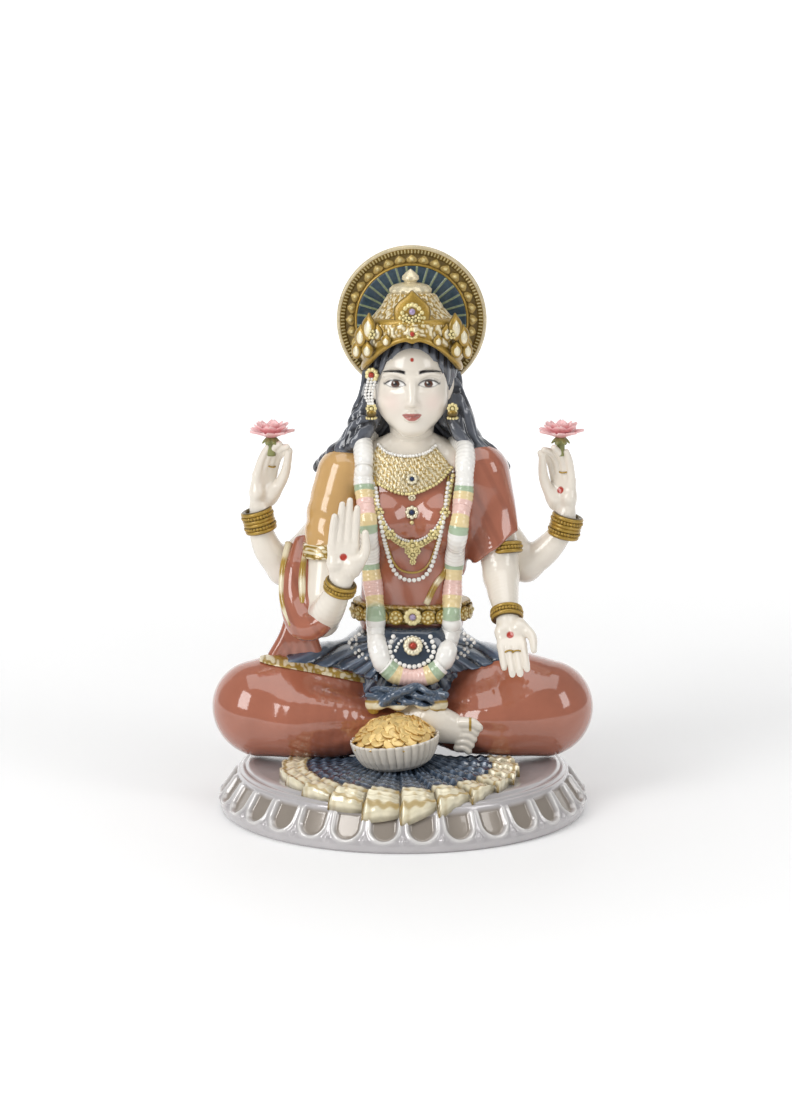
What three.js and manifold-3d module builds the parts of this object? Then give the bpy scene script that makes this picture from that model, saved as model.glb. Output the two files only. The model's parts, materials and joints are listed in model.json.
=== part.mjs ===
// A seated four-armed goddess figurine in glazed porcelain on a round lotus plinth.
// Millimetres, +Z up. The figure faces -Y, so its own right side is towards -X.
// The origin is on the ground under the plinth's centre.
import * as THREE from 'three';
import { mergeVertices } from 'three/addons/utils/BufferGeometryUtils.js';
import Module from 'manifold-3d';

const wasm = await Module();
wasm.setup();

// ---------------------------------------------------------------- driving dimensions
const GAP = 0.3; // glaze line left between pieces that are luted or stuck together
const PLINTH_RADIUS = 103.5;
const DISC_RADIUS = 88;
const DISC_TOP = 25.4;
const PETALS = 30;
const PLINTH_WALL = 6;
const CASTING_WALL = 6;
const TRUNK_X = 5; // the trunk, head and halo stand this far to the figure's left
const KNEE = { x: 82, y: 15, z: 52.4, r: 27 };
const BELT_BOTTOM = 102.7;
const BELT_TOP = 113.4;
const SHOULDER_Z = 184;
const HEAD = { x: TRUNK_X, y: 31, z: 239, width: 20.5, depth: 24, height: 28 };
const HALO = { x: TRUNK_X, y: 58, z: 268.4, r: 42.5, field: 31 };
const BOWL = { x: -3, y: -24, z: 43.5, r: 24.5, depth: 14, tilt: 8.4 };
const FAN = { x: -2, y: -3, inner: 11, blue: 72, front: 95, side: 68, spread: 82, folds: 13 };
const GARLAND_RADIUS = 5.4;
const LOTUS = { width: 13.3, height: 4.4, petals: 8 };

// ---------------------------------------------------------------- glazes
const glaze = (color, roughness = 0.22, metalness = 0) =>
  new THREE.MeshStandardMaterial({ color, roughness, metalness });
const PEARL = glaze(0xcfcbd0, 0.3);
const SKIN = glaze(0xe9e2d6);
const TERRACOTTA = glaze(0xa8624e);
const SLATE = glaze(0x49586b);
const OCHRE = glaze(0xc99f63);
const HAIR = glaze(0x5d6370);
const GOLD = glaze(0xb18a3c, 0.35, 0.6);
const WHITE = glaze(0xf1efe9);
const TEAL = glaze(0x35505c);
const CREAM = glaze(0xd9c48c, 0.3);
const PINK = glaze(0xe6a6a8);
const LEAF = glaze(0x8b8f5c);
const COIN = glaze(0xe2bf6a, 0.3, 0.7);

// ---------------------------------------------------------------- geometry helpers
const vector = ([x, y, z]) => new THREE.Vector3(x, y, z);
const degrees = THREE.MathUtils.degToRad;
const mix = THREE.MathUtils.lerp;
const mirrorX = ([x, y, z]) => [2 * TRUNK_X - x, y, z];

// The geometry with only positions, its shared vertices merged and its faces outward.
function bare(geometry) {
  const positions = new THREE.BufferGeometry();
  positions.setAttribute('position', geometry.attributes.position.clone());
  if (geometry.index) positions.setIndex(geometry.index.clone());
  const merged = mergeVertices(positions, 1e-4);
  const corners = merged.index.array;
  const kept = [];
  for (let i = 0; i < corners.length; i += 3) {
    const [a, b, c] = [corners[i], corners[i + 1], corners[i + 2]];
    if (a !== b && b !== c && c !== a) kept.push(a, b, c);
  }
  if (signedVolume(merged.attributes.position, kept) < 0) kept.reverse();
  merged.setIndex(kept);
  merged.computeVertexNormals();
  return merged;
}

function signedVolume(position, corners) {
  const [a, b, c] = [new THREE.Vector3(), new THREE.Vector3(), new THREE.Vector3()];
  let volume = 0;
  for (let i = 0; i < corners.length; i += 3) {
    a.fromBufferAttribute(position, corners[i]);
    b.fromBufferAttribute(position, corners[i + 1]);
    c.fromBufferAttribute(position, corners[i + 2]);
    volume += a.dot(b.cross(c)) / 6;
  }
  return volume;
}

function solid(geometry) {
  const mesh = bare(geometry);
  return new wasm.Manifold(new wasm.Mesh({
    numProp: 3,
    vertProperties: new Float32Array(mesh.attributes.position.array),
    triVerts: new Uint32Array(mesh.index.array),
  }));
}

function geometryOf(manifold) {
  const mesh = manifold.getMesh();
  const geometry = new THREE.BufferGeometry();
  geometry.setAttribute('position', new THREE.BufferAttribute(mesh.vertProperties, 3));
  geometry.setIndex(new THREE.BufferAttribute(mesh.triVerts, 1));
  geometry.computeVertexNormals();
  return geometry;
}

const fused = (geometries) => geometries.map(solid).reduce((whole, part) => whole.add(part));

// The same surface moved outward along its normals.
function grown(geometry, distance) {
  const outer = bare(geometry);
  const { position, normal } = outer.attributes;
  for (let i = 0; i < position.count; i += 1) {
    const moved = new THREE.Vector3().fromBufferAttribute(position, i);
    moved.addScaledVector(new THREE.Vector3().fromBufferAttribute(normal, i), distance);
    position.setXYZ(i, moved.x, moved.y, moved.z);
  }
  return outer;
}

function shaped(geometry, map) {
  const { position } = geometry.attributes;
  for (let i = 0; i < position.count; i += 1) {
    const moved = map(new THREE.Vector3().fromBufferAttribute(position, i));
    position.setXYZ(i, moved.x, moved.y, moved.z);
  }
  return geometry;
}

// A value read part of the way along a list, with straight lines between its entries.
function along(list, share) {
  const place = share * (list.length - 1);
  const index = Math.min(Math.floor(place), list.length - 2);
  return mix(list[index], list[index + 1], place - index);
}

// The points with one more beyond each end, so that a limb is round past its end points.
function extended(points, radii) {
  const ends = points.map(vector);
  const reach = (end, next, r) => end.clone().addScaledVector(end.clone().sub(next).normalize(), 1.05 * r);
  const first = reach(ends[0], ends[1], radii[0]);
  const last = reach(ends.at(-1), ends.at(-2), radii.at(-1));
  return [first, ...ends, last];
}

// A rounded limb through points. Each radius is one number, or [in the front view, in depth].
function limb(points, radii, { sides = 9, rings = 8, blunt = 3, facing = [0, 1, 0] } = {}) {
  const across = radii.map((r) => (Array.isArray(r) ? r[0] : r));
  const deep = radii.map((r) => (Array.isArray(r) ? r[1] : r));
  const curve = new THREE.CatmullRomCurve3(extended(points, deep));
  const read = (list, share) => along([list[0], ...list, list.at(-1)], share);
  return shaped(new THREE.SphereGeometry(1, sides, rings), (v) => {
    const share = Math.acos(THREE.MathUtils.clamp(-v.y, -1, 1)) / Math.PI;
    const cap = (1 - Math.abs(2 * share - 1) ** blunt) ** (1 / blunt);
    const round = Math.hypot(v.x, v.z) || 1;
    const tangent = curve.getTangent(share);
    const side = tangent.clone().cross(vector(facing)).normalize();
    const front = side.clone().cross(tangent);
    return curve.getPoint(share)
      .addScaledVector(side, (v.x / round) * cap * read(across, share))
      .addScaledVector(front, (v.z / round) * cap * read(deep, share));
  });
}

function ball(centre, radii, sides = 12, rings = 8) {
  const geometry = new THREE.SphereGeometry(1, sides, rings).rotateX(Math.PI / 2);
  return geometry.scale(...radii).translate(...centre);
}

// A thin slab bent by a map from (u, v, w), each from 0 to 1, with w through its thickness.
function sheet(uSteps, vSteps, map) {
  const slab = new THREE.BoxGeometry(1, 1, 1, uSteps, vSteps, 1).translate(0.5, 0.5, 0.5);
  return shaped(slab, (v) => map(v.x, v.y, v.z));
}

// A turned shape with its axis along +Z at the origin, from [radius, height] pairs.
function turned(profile, segments = 32) {
  const points = profile.map(([r, z]) => new THREE.Vector2(r, z));
  return new THREE.LatheGeometry(points, segments).rotateX(Math.PI / 2);
}

// A band around an axis through a point, like a bangle.
function band(centre, axis, inner, outer, height, segments = 12) {
  const half = height / 2;
  const waist = mix(inner, outer, 0.7);
  const profile = [[inner, -half], [waist, -half], [outer, 0], [waist, half], [inner, half], [inner, -half]];
  const up = new THREE.Vector3(0, 0, 1);
  const turn = new THREE.Quaternion().setFromUnitVectors(up, vector(axis).normalize());
  return turned(profile, segments).applyQuaternion(turn).translate(...centre);
}

function tube(points, radius, steps, sides = 8) {
  const section = new THREE.Shape().absarc(0, 0, radius, 0, 2 * Math.PI);
  const extrudePath = new THREE.CatmullRomCurve3(points.map(vector));
  const options = { steps, extrudePath, bevelEnabled: false, curveSegments: sides / 2 };
  return new THREE.ExtrudeGeometry(section, options);
}

// A prism with an outline given as [x, z], running through the depth from one y to another.
function outline(points, yFront, yBack) {
  const shape = new THREE.Shape(points.map(([x, z]) => new THREE.Vector2(x, z)));
  const options = { depth: yBack - yFront, bevelEnabled: false };
  return new THREE.ExtrudeGeometry(shape, options).rotateX(Math.PI / 2).translate(0, yBack, 0);
}

// ---------------------------------------------------------------- assembling
const statue = new THREE.Group();
const placed = new Map();

const boxOf = (manifold) => {
  const { min, max } = manifold.boundingBox();
  return new THREE.Box3(vector(min), vector(max));
};

// What a later piece keeps clear of: the piece's uncut shape, a gap larger all round. The region
// that bounded the piece grows by more, because a prism's short sides move less than its long ones.
function envelope({ shapes, within }) {
  const whole = fused(shapes.map((shape) => grown(shape, 1.8 * GAP)));
  return within.length ? whole.intersect(fused(within.map((shape) => grown(shape, 5 * GAP)))) : whole;
}

// Adds a piece made of shapes, kept within some shapes, less others, and clear of earlier pieces.
function add(name, material, shapes, { within = [], less = [] } = {}) {
  let body = fused(shapes);
  if (within.length) body = body.intersect(fused(within));
  for (const shape of less) body = body.subtract(solid(shape));
  for (const earlier of placed.values()) {
    if (boxOf(body).intersectsBox(earlier.box)) body = body.subtract(earlier.envelope);
  }
  const [largest] = body.decompose().sort((a, b) => b.volume() - a.volume());
  const mesh = new THREE.Mesh(geometryOf(largest), material);
  mesh.name = name;
  statue.add(mesh);
  const clear = envelope({ shapes, within });
  placed.set(name, { mesh, shapes, envelope: clear, box: boxOf(clear) });
}

// The y of the foremost surface among the named pieces at a place in the front view.
const caster = new THREE.Raycaster();
function frontOf(names, x, z) {
  const start = new THREE.Vector3(x, -3 * PLINTH_RADIUS, z);
  caster.set(start, new THREE.Vector3(0, 1, 0));
  const targets = names.filter((n) => placed.has(n)).map((name) => placed.get(name).mesh);
  const [hit] = caster.intersectObjects(targets);
  return hit ? hit.point.y : HEAD.y;
}

// A cord or chain laid on the front of the named pieces, from [x, z] pairs.
const laid = (names, points, lift) => points.map(([x, z]) => [x, frontOf(names, x, z) - lift, z]);

// A shell that follows the named pieces at a thickness, within a region.
function cloth(name, material, under, thickness, region) {
  const shapes = under.flatMap((piece) => placed.get(piece).shapes).map((shape) => grown(shape, thickness));
  add(name, material, shapes, { within: [region] });
}

// ---------------------------------------------------------------- plinth
const PLINTH_PROFILE = [
  [DISC_RADIUS, DISC_TOP], [DISC_RADIUS + 3, DISC_TOP - 1.2], [DISC_RADIUS + 4, DISC_TOP - 4],
  [DISC_RADIUS + 9, DISC_TOP - 10], [DISC_RADIUS + 13, 9.5], [PLINTH_RADIUS - 0.6, 7.5],
];

function plinthHeight(radius) {
  if (radius <= DISC_RADIUS) return DISC_TOP;
  const next = PLINTH_PROFILE.findIndex(([r]) => r >= radius);
  if (next < 0) return PLINTH_PROFILE.at(-1)[1];
  const [[r0, z0], [r1, z1]] = [PLINTH_PROFILE[next - 1], PLINTH_PROFILE[next]];
  return mix(z0, z1, (radius - r0) / (r1 - r0));
}

function plinth() {
  const foot = PLINTH_RADIUS - 2.5;
  const outside = [
    [0, DISC_TOP], ...PLINTH_PROFILE, [PLINTH_RADIUS, 4], [foot, 0],
  ];
  const inside = [
    [foot - PLINTH_WALL, 0], [DISC_RADIUS - 4, DISC_TOP - PLINTH_WALL],
    [0, DISC_TOP - PLINTH_WALL],
  ];
  const body = turned([...outside, ...inside], 2 * PETALS);
  return shaped(body, (v) => {
    const radius = Math.hypot(v.x, v.y);
    const petal = radius > DISC_RADIUS + 3.5 && v.z > 7 ? Math.cos(PETALS * Math.atan2(v.x, v.y)) : 0;
    return v.multiply(new THREE.Vector3(1 + petal * 0.008, 1 + petal * 0.008, 1));
  });
}

add('base_plinth', PEARL, [plinth()]);

// ---------------------------------------------------------------- legs and lap
// A leg is a thigh to the knee and a shin folded back in front of it, cast hollow.
function legShapes(side, shinEnd, shinRadii, inset = 0) {
  const knee = [side * KNEE.x, KNEE.y, KNEE.z];
  const thigh = [[side * 30, 32, 62], [side * 58, 23, 57], knee];
  const shin = [[side * (KNEE.x - 2), KNEE.y - 6, KNEE.z - 3], ...shinEnd];
  const less = (r) => r - inset;
  return [
    limb(thigh, [24, 27, KNEE.r].map(less), { sides: 10, rings: 8 }),
    limb(shin, [KNEE.r - 5, ...shinRadii].map(less), { sides: 10, rings: 8 }),
  ];
}

const LEG_SHINS = {
  right_leg: { side: -1, shin: [[-50, 0, 48.5], [-20, 4, 47.5], [4, 0, 52]], radii: [20.5, 15, 9] },
  left_leg: { side: 1, shin: [[52, 2, 50], [30, 8, 47], [16, 14, 45]], radii: [22, 18, 14] },
};

for (const [name, { side, shin, radii }] of Object.entries(LEG_SHINS)) {
  const hollow = fused(legShapes(side, shin.slice(0, 1), [12], CASTING_WALL));
  const vent = new THREE.CylinderGeometry(3, 3, 40, 10).rotateX(Math.PI / 2);
  vent.translate(side * KNEE.x * 0.8, KNEE.y, DISC_TOP + 10);
  add(name, TERRACOTTA, legShapes(side, shin, radii), { less: [geometryOf(hollow), vent] });
}

const FOOT_PATH = [[6, -3, 53], [20, -8, 51], [33, -12, 46], [40, -13.5, 41]];
add('right_foot', SKIN, [
  limb(FOOT_PATH, [[7, 7], [8, 6], [9, 5.5], [6.5, 5]]),
  ball([40.5, -14, 41], [3.4, 3.5, 3.4], 8, 6),
]);

const LAP = { centre: [TRUNK_X - 1, 28, 66], radii: [46, 35, 41] };
const lapHollow = ball(LAP.centre, LAP.radii.map((r) => r - CASTING_WALL), 10, 6);
const lapVent = new THREE.CylinderGeometry(5, 5, 60, 12).rotateX(Math.PI / 2).translate(TRUNK_X, 40, 40);
add('skirt_body', SLATE, [ball(LAP.centre, LAP.radii, 16, 8)], { less: [lapHollow, lapVent] });

// ---------------------------------------------------------------- trunk, neck and head
const TRUNK_PATH = [94, 112, 136, 158, 178, 197];
const TRUNK_Y = [27, 27, 28, 29, 32, 33];
const TRUNK_RADII = [[30, 20], [30, 20], [33, 20], [37, 21], [40, 19], [27, 13]];
const trunkShape = (inset, sides) => limb(
  TRUNK_PATH.map((z, i) => [TRUNK_X, TRUNK_Y[i], z]),
  TRUNK_RADII.map(([across, deep]) => [across - inset, deep - inset]),
  { sides, rings: 9, blunt: 4 },
);
const BUST = [-12, 11, 160];
add('torso', TERRACOTTA, [
  trunkShape(0, 14),
  ball(BUST, [15, 12, 14], 10, 6),
  ball(mirrorX(BUST), [15, 12, 14], 10, 6),
], { less: [trunkShape(CASTING_WALL, 8), new THREE.BoxGeometry(36, 24, 20).translate(TRUNK_X, 27, 92)] });

function headShape() {
  return shaped(ball([0, 0, 0], [1, 1, 1], 16, 12), (v) => {
    const jaw = v.z < 0 ? 1 + 0.3 * v.z : 1;
    const nose = Math.exp(-((v.x / 0.13) ** 2) - ((v.z + 0.1) / 0.22) ** 2) * (v.y < 0 ? 0.14 : 0);
    return new THREE.Vector3(
      HEAD.x + v.x * HEAD.width * jaw,
      HEAD.y + (v.y * (v.z < 0 ? 1 + 0.12 * v.z : 1) - nose) * HEAD.depth,
      HEAD.z + v.z * HEAD.height,
    );
  });
}
const NECK = [[TRUNK_X, 35, 186], [TRUNK_X, 34, 200], [TRUNK_X, 34, 218]];
add('head', SKIN, [headShape(), limb(NECK, [14, 12, 12], { sides: 12, rings: 6 })]);

// ---------------------------------------------------------------- arms and hands
// A hand is a flat palm with four fingers and a thumb, laid out from the wrist towards the tips.
const FINGER_SHARES = [0.9, 1, 0.95, 0.82];
function hand({ wrist, tips, across, width, thick, thumb, curl = 0, fingers }) {
  const start = vector(wrist);
  const reach = vector(tips).sub(start);
  const side = vector(across).normalize();
  const forward = side.clone().cross(reach).normalize();
  const at = (length, sideways, lift) => start.clone()
    .addScaledVector(reach, length)
    .addScaledVector(side, sideways * width)
    .addScaledVector(forward, lift)
    .toArray();
  const facing = forward.toArray();
  const palm = limb([at(-0.08, 0, 0), at(0.2, 0, 0), at(0.55, 0, 0)],
    [[width * 0.55, thick], [width * 0.95, thick], [width, thick * 0.8]], { sides: 8, rings: 6, facing });
  const radius = (1.08 * width) / fingers.length;
  const spread = 2 / fingers.length;
  const digits = fingers.map((length, i) => {
    const place = (i - (fingers.length - 1) / 2) * spread;
    const path = [at(0.45, place, 0), at(0.7, place * 1.1, curl), at(length, place * 1.15, curl * 3)];
    return limb(path, [radius * 1.1, radius, radius * 0.8], { sides: 5, rings: 4, facing });
  });
  const thumbPath = [at(0.1, 0.6 * thumb, 0), at(0.35, 1.15 * thumb, curl), at(0.62, 1.25 * thumb, curl * 2)];
  return [palm, ...digits, limb(thumbPath, [0.32, 0.3, 0.22].map((share) => share * width),
    { sides: 5, rings: 4, facing })];
}

const FRONT_RIGHT = { elbow: [-46, 3, 104], wrist: [-35, -19, 130], tips: [-31, -21, 179] };
const FRONT_LEFT = { elbow: [55.5, 17, 128], wrist: [58, -7, 112], tips: [64.5, -34, 85] };
const REAR_RIGHT = { elbow: [-68, 34, 128], wrist: [-81.5, 30, 158], tips: [-74, 27, 199] };
const REAR_LEFT = { elbow: [69.5, 34, 130], wrist: [92, 30, 155], tips: [90, 26, 199] };

const FOREARM = {
  front_right: [-41, -10, 115],
  front_left: [56.5, 6, 120.5],
  rear_right: [-77, 32, 142],
  rear_left: [82, 32, 141],
};

add('front_right_arm', SKIN, [
  limb([[-33, 33, SHOULDER_Z], [-39, 28, 162], [-42, 20, 140], FRONT_RIGHT.elbow], [13, 12.5, 11.5, 9.5]),
  limb([FRONT_RIGHT.elbow, FOREARM.front_right, FRONT_RIGHT.wrist], [9.5, 8.5, 5.6]),
  ...hand({ ...FRONT_RIGHT, across: [1, 0, 0], width: 8.2, thick: 4.2, thumb: 1, fingers: FINGER_SHARES }),
]);
add('front_left_arm', SKIN, [
  limb([[43, 33, SHOULDER_Z], [49, 31, 162], [53.5, 25, 144], FRONT_LEFT.elbow], [13, 12, 10.5, 9.5]),
  limb([FRONT_LEFT.elbow, FOREARM.front_left, FRONT_LEFT.wrist], [9.5, 8, 5.6]),
  ...hand({ ...FRONT_LEFT, across: [1, -0.1, 0.1], width: 8.2, thick: 4, thumb: 1, fingers: FINGER_SHARES }),
]);
add('rear_right_arm', SKIN, [
  limb([[-30, 42, 166], [-50, 39, 144], REAR_RIGHT.elbow], [13, 12, 10]),
  limb([REAR_RIGHT.elbow, FOREARM.rear_right, REAR_RIGHT.wrist], [10, 8.5, 5.6]),
  ...hand({ ...REAR_RIGHT, across: [1, 0, 0], width: 7.2, thick: 4.5, thumb: 1, fingers: [1, 0.86] }),
]);
add('rear_left_arm', SKIN, [
  limb([[40, 42, 166], [57, 38, 146], REAR_LEFT.elbow], [13, 12, 10.5]),
  limb([REAR_LEFT.elbow, FOREARM.rear_left, REAR_LEFT.wrist], [10.5, 9, 5.8]),
  ...hand({ ...REAR_LEFT, across: [-1, 0, 0], width: 7.2, thick: 4.5, thumb: 1, fingers: [1, 0.86] }),
]);

// ---------------------------------------------------------------- halo
const HALO_RIM = [
  [HALO.field + 0.4, -2.6], [HALO.r - 1, -2.6], [HALO.r, 0], [HALO.r - 1, 3], [HALO.field + 2, 2.4],
  [HALO.field + 0.4, 1.4], [HALO.field + 0.4, -2.6],
];
add('halo_rim', GOLD, [turned(HALO_RIM, 36).rotateX(Math.PI / 2).translate(HALO.x, HALO.y, HALO.z)]);
add('halo_disc', TEAL, [
  new THREE.CylinderGeometry(HALO.field, HALO.field, 3, 32).translate(HALO.x, HALO.y, HALO.z),
]);

// ---------------------------------------------------------------- dress
const SLEEVE = [[-60, 200], [-60, 147], [-46, 145], [-33, 150], [-27, 170], [-24, 200]];
cloth('sleeve_right', OCHRE, ['front_right_arm', 'torso'], 2, outline(SLEEVE, -10, 60));
const SLEEVE_HEM = [[-60, 146.6], [-60, 141], [-46, 139], [-33, 144], [-33, 149.5], [-46, 144.6]];
cloth('sleeve_hem_right', CREAM, ['front_right_arm'], 2.4, outline(SLEEVE_HEM, -10, 45));

const SHAWL = [[29, 204], [29, 128], [36, 130], [49, 143], [58, 152], [72, 156], [72, 204]];
cloth('shawl_shoulder', TERRACOTTA, ['torso', 'front_left_arm'], 3, outline(SHAWL, -20, 62));

add('shawl_elbow_swag', TERRACOTTA, [
  limb([[-58, 30, 138], [-60, 20, 124], [-55, 6, 108], [-46, -3, 103]], [9, 12, 14, 12]),
]);
const TAIL_PATH = [[-55, 20, 98], [-63, 22, 90], [-70, 22, 85]];
add('shawl_tail', TERRACOTTA, [limb(TAIL_PATH, [[8, 7], [7, 6], [4, 4]])]);

const SKIRT_RIGHT = [[-82, 78.5], [-41, 73.5], [-14, 69], [-14, 96], [-40, 100], [-82, 90]];
const SKIRT_LEFT = [[22, 74], [50, 76], [78, 80], [78, 92], [50, 100], [22, 100]];
const SKIRT_HEM = [[-84, 77.8], [-41, 72.8], [-12, 68.3], [-12, 63], [-41, 67.5], [-84, 72.5]];
cloth('skirt_panel_right', SLATE, ['right_leg', 'skirt_body'], 2, outline(SKIRT_RIGHT, -40, 60));
cloth('skirt_panel_left', SLATE, ['left_leg', 'skirt_body'], 2, outline(SKIRT_LEFT, -40, 60));
cloth('skirt_hem_right', GOLD, ['right_leg'], 2, outline(SKIRT_HEM, -40, KNEE.y));

const BELT = [[-60, BELT_BOTTOM], [70, BELT_BOTTOM], [70, BELT_TOP], [-60, BELT_TOP]];
cloth('belt', GOLD, ['torso'], 3, outline(BELT, -30, 70));

const APRON = [[-14, 101.5], [-15, 90], [-9, 80.5], [TRUNK_X, 77], [19, 80.5], [25, 90], [24, 101.5]];
cloth('apron_panel', SLATE, ['skirt_body'], 3, outline(APRON, -30, 20));

add('sash_knot', SLATE, [
  limb([[-17, -9, 66], [TRUNK_X - 3, -14, 65], [21, -10, 68]], [[5, 4], [6, 5], [5, 4]]),
]);

const jewel = (under, x, z, width, height, lift = 0.4) =>
  ball([x, frontOf(under, x, z) - lift, z], [width, 2.2, height], 12, 6);
add('apron_medallion', GOLD, [jewel(['apron_panel'], TRUNK_X + 0.6, 91, 7.5, 7.5)]);
add('belt_jewel', PINK, [jewel(['belt'], TRUNK_X + 0.4, 108, 5.5, 4)]);

// ---------------------------------------------------------------- hair
add('hair_back', HAIR, [
  ball([HEAD.x, HEAD.y + 3.5, HEAD.z + 4], [HEAD.width + 5.5, 20, HEAD.height - 0.5], 12, 8),
  limb([[TRUNK_X, 40, 246], [TRUNK_X, 42, 230], [TRUNK_X, 50, 206], [TRUNK_X, 57, 182], [TRUNK_X, 58, 158]],
    [[25, 10], [28, 11], [36, 11], [44, 9], [30, 7]], { sides: 12, rings: 8 }),
]);
const LOCK = [[-17, 27, 236], [-19, 30, 220], [-25, 26, 206], [-36, 31, 197], [-43, 44, 186]];
const LOCK_RADII = [[5, 6], [6, 8], [8, 8], [8, 9], [6, 6]];
add('hair_lock_right', HAIR, [limb(LOCK, LOCK_RADII)]);
add('hair_lock_left', HAIR, [limb(LOCK.map(mirrorX), LOCK_RADII)]);

// ---------------------------------------------------------------- crown
const CROWN_Y = HEAD.y + 3;
const CROWN_Z = 258.5;
const CROWN_R = 28.8;
const CROWN_TILT = degrees(-7);
const crowned = (geometry) => (
  geometry.scale(1, 0.96, 1).rotateX(CROWN_TILT).translate(HEAD.x, CROWN_Y, CROWN_Z)
);
const CROWN_BAND = [[21, 0], [CROWN_R - 1.2, 0], [CROWN_R, 4.5], [CROWN_R - 0.8, 9], [21, 9], [21, 0]];
const CROWN_DOME = [
  [0, 6], [CROWN_R - 1.4, 9.3], [CROWN_R - 2, 15], [CROWN_R - 7, 19.5], [14, 22.5], [10, 24.5], [0, 24.5],
];
add('crown_band', GOLD, [crowned(turned(CROWN_BAND, 20))]);
add('crown_dome', GOLD, [crowned(turned(CROWN_DOME, 16))]);
const FINIAL = [
  [0, 0], [9.5, 0], [12.6, 4], [9.5, 8.2], [4, 10.4], [3, 12], [3.4, 13.6], [1.6, 15.6], [0, 17.4],
];
add('crown_finial', GOLD, [turned(FINIAL, 14).translate(HEAD.x - 0.8, CROWN_Y + 3, 283)]);
const WING = [-17.5, 14, 272.5];
add('crown_wing_right', GOLD, [ball(WING, [5.5, 5, 7.5], 10, 6)]);
add('crown_wing_left', GOLD, [ball(mirrorX(WING), [5.5, 5, 7.5], 10, 6)]);
add('crown_crest', GOLD, [ball([HEAD.x, 9, 273.5], [6.5, 3.6, 8], 12, 6)]);
const LUG = new THREE.CylinderGeometry(6, 6, 8, 12).translate(HALO.x, HALO.y - 5, HALO.z - 18);
add('halo_lug', HAIR, [LUG]);

// ---------------------------------------------------------------- jewellery
const EAR = [HEAD.x - HEAD.width - 1.8, 19, 243];
const EARRING = [[EAR[0] - 0.4, 16, 222.5], [3.6, 3, 4.8]];
add('ear_ornament_right', GOLD, [ball(EAR, [4, 3.4, 5.2], 10, 6)]);
add('ear_chain_right', WHITE, [
  tube([[EAR[0], 16, 237.3], [EAR[0] - 1.5, 15.5, 233], [EAR[0] - 0.4, 16, 227.8]], 1.4, 4, 6),
]);
add('earring_right', GOLD, [ball(EARRING[0], EARRING[1], 10, 6)]);
add('earring_left', GOLD, [ball(mirrorX(EARRING[0]), EARRING[1], 10, 6)]);

const COLLAR = [[-25, 201], [-21, 188], [-10, 180], [TRUNK_X, 177.5], [20, 180], [31, 188], [35, 201]];
cloth('collar_necklace', GOLD, ['torso', 'head'], 1.8, outline(COLLAR, -10, 32));

const CHEST = ['torso', 'collar_necklace', 'shawl_shoulder'];
const chain = (side, bottom) => {
  const top = 192;
  const points = [-1, -0.82, -0.5, 0, 0.5, 0.82, 1];
  return points.map((t) => [TRUNK_X + t * side, bottom + (top - bottom) * Math.abs(t) ** 2.4]);
};
const PENDANTS = [[4.2, 184.5], [2.8, 176.5], [3.8, 169.5]];
add('pendant_chain', GOLD, [
  tube(laid(CHEST, [[TRUNK_X, 187], [TRUNK_X, 177], [TRUNK_X, 166]], 2.2), 1.1, 3, 6),
  ...PENDANTS.map(([r, z]) => ball([TRUNK_X, frontOf(CHEST, TRUNK_X, z) - 2.4, z], [r, 1.7, r], 8, 4)),
]);
add('middle_necklace', GOLD, [
  tube(laid(CHEST, chain(22, 157), 3.2), 1.6, 12, 5),
  ball([TRUNK_X, frontOf(CHEST, TRUNK_X, 154.5) - 3, 154.5], [5, 2.2, 5.5], 8, 6),
]);
add('long_necklace', WHITE, [tube(laid(CHEST, chain(23, 134.5), 3.2), 1.7, 14, 5)]);

const BANGLES = [
  ['front_right', FRONT_RIGHT, 10.4, 6.5],
  ['front_left', FRONT_LEFT, 10, 5.5],
  ['rear_right', REAR_RIGHT, 10, 13],
  ['rear_left', REAR_LEFT, 10, 13],
];
for (const [name, { wrist }, outer, height] of BANGLES) {
  const axis = vector(wrist).sub(vector(FOREARM[name])).toArray();
  add(`${name}_bangle`, GOLD, [band(wrist, axis, 6.2, outer, height)]);
}
add('armlet_left', GOLD, [band([53.7, 24.5, 142], [0.1, -0.42, -1], 9, 13, 7)]);

// ---------------------------------------------------------------- garland
const GARLAND_SIDE = [[-22.5, 197], [-22, 180], [-19.5, 158], [-18, 134], [-15.5, 112], [-15, 96], [-11, 84]];
const GARLAND_UNDER = [
  ...CHEST, 'belt', 'apron_panel', 'skirt_body', 'sleeve_right', 'middle_necklace', 'long_necklace',
];
const strand = (points) => {
  const front = laid(GARLAND_UNDER, points, GARLAND_RADIUS + 0.4);
  const [x, , z] = front[0];
  return [[x + (TRUNK_X - x) * 0.15, 30, z + 6], ...front];
};
const GARLAND_LEFT_SIDE = [[35, 197], [34, 180], [30.8, 158], [28.6, 134], [27.4, 112], [27, 98], [22, 85]];
add('garland_right_strand', WHITE, [tube(strand(GARLAND_SIDE), GARLAND_RADIUS, 14, 6)]);
add('garland_left_strand', WHITE, [tube(strand(GARLAND_LEFT_SIDE), GARLAND_RADIUS, 14, 6)]);
const GARLAND_LOW = [[-10, 82.2], [-4, 77], [TRUNK_X, 75], [15, 77], [21, 82.4]];
add('garland_bottom', WHITE, [
  tube(laid(GARLAND_UNDER, GARLAND_LOW, GARLAND_RADIUS + 0.4), GARLAND_RADIUS, 6, 6),
]);

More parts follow.
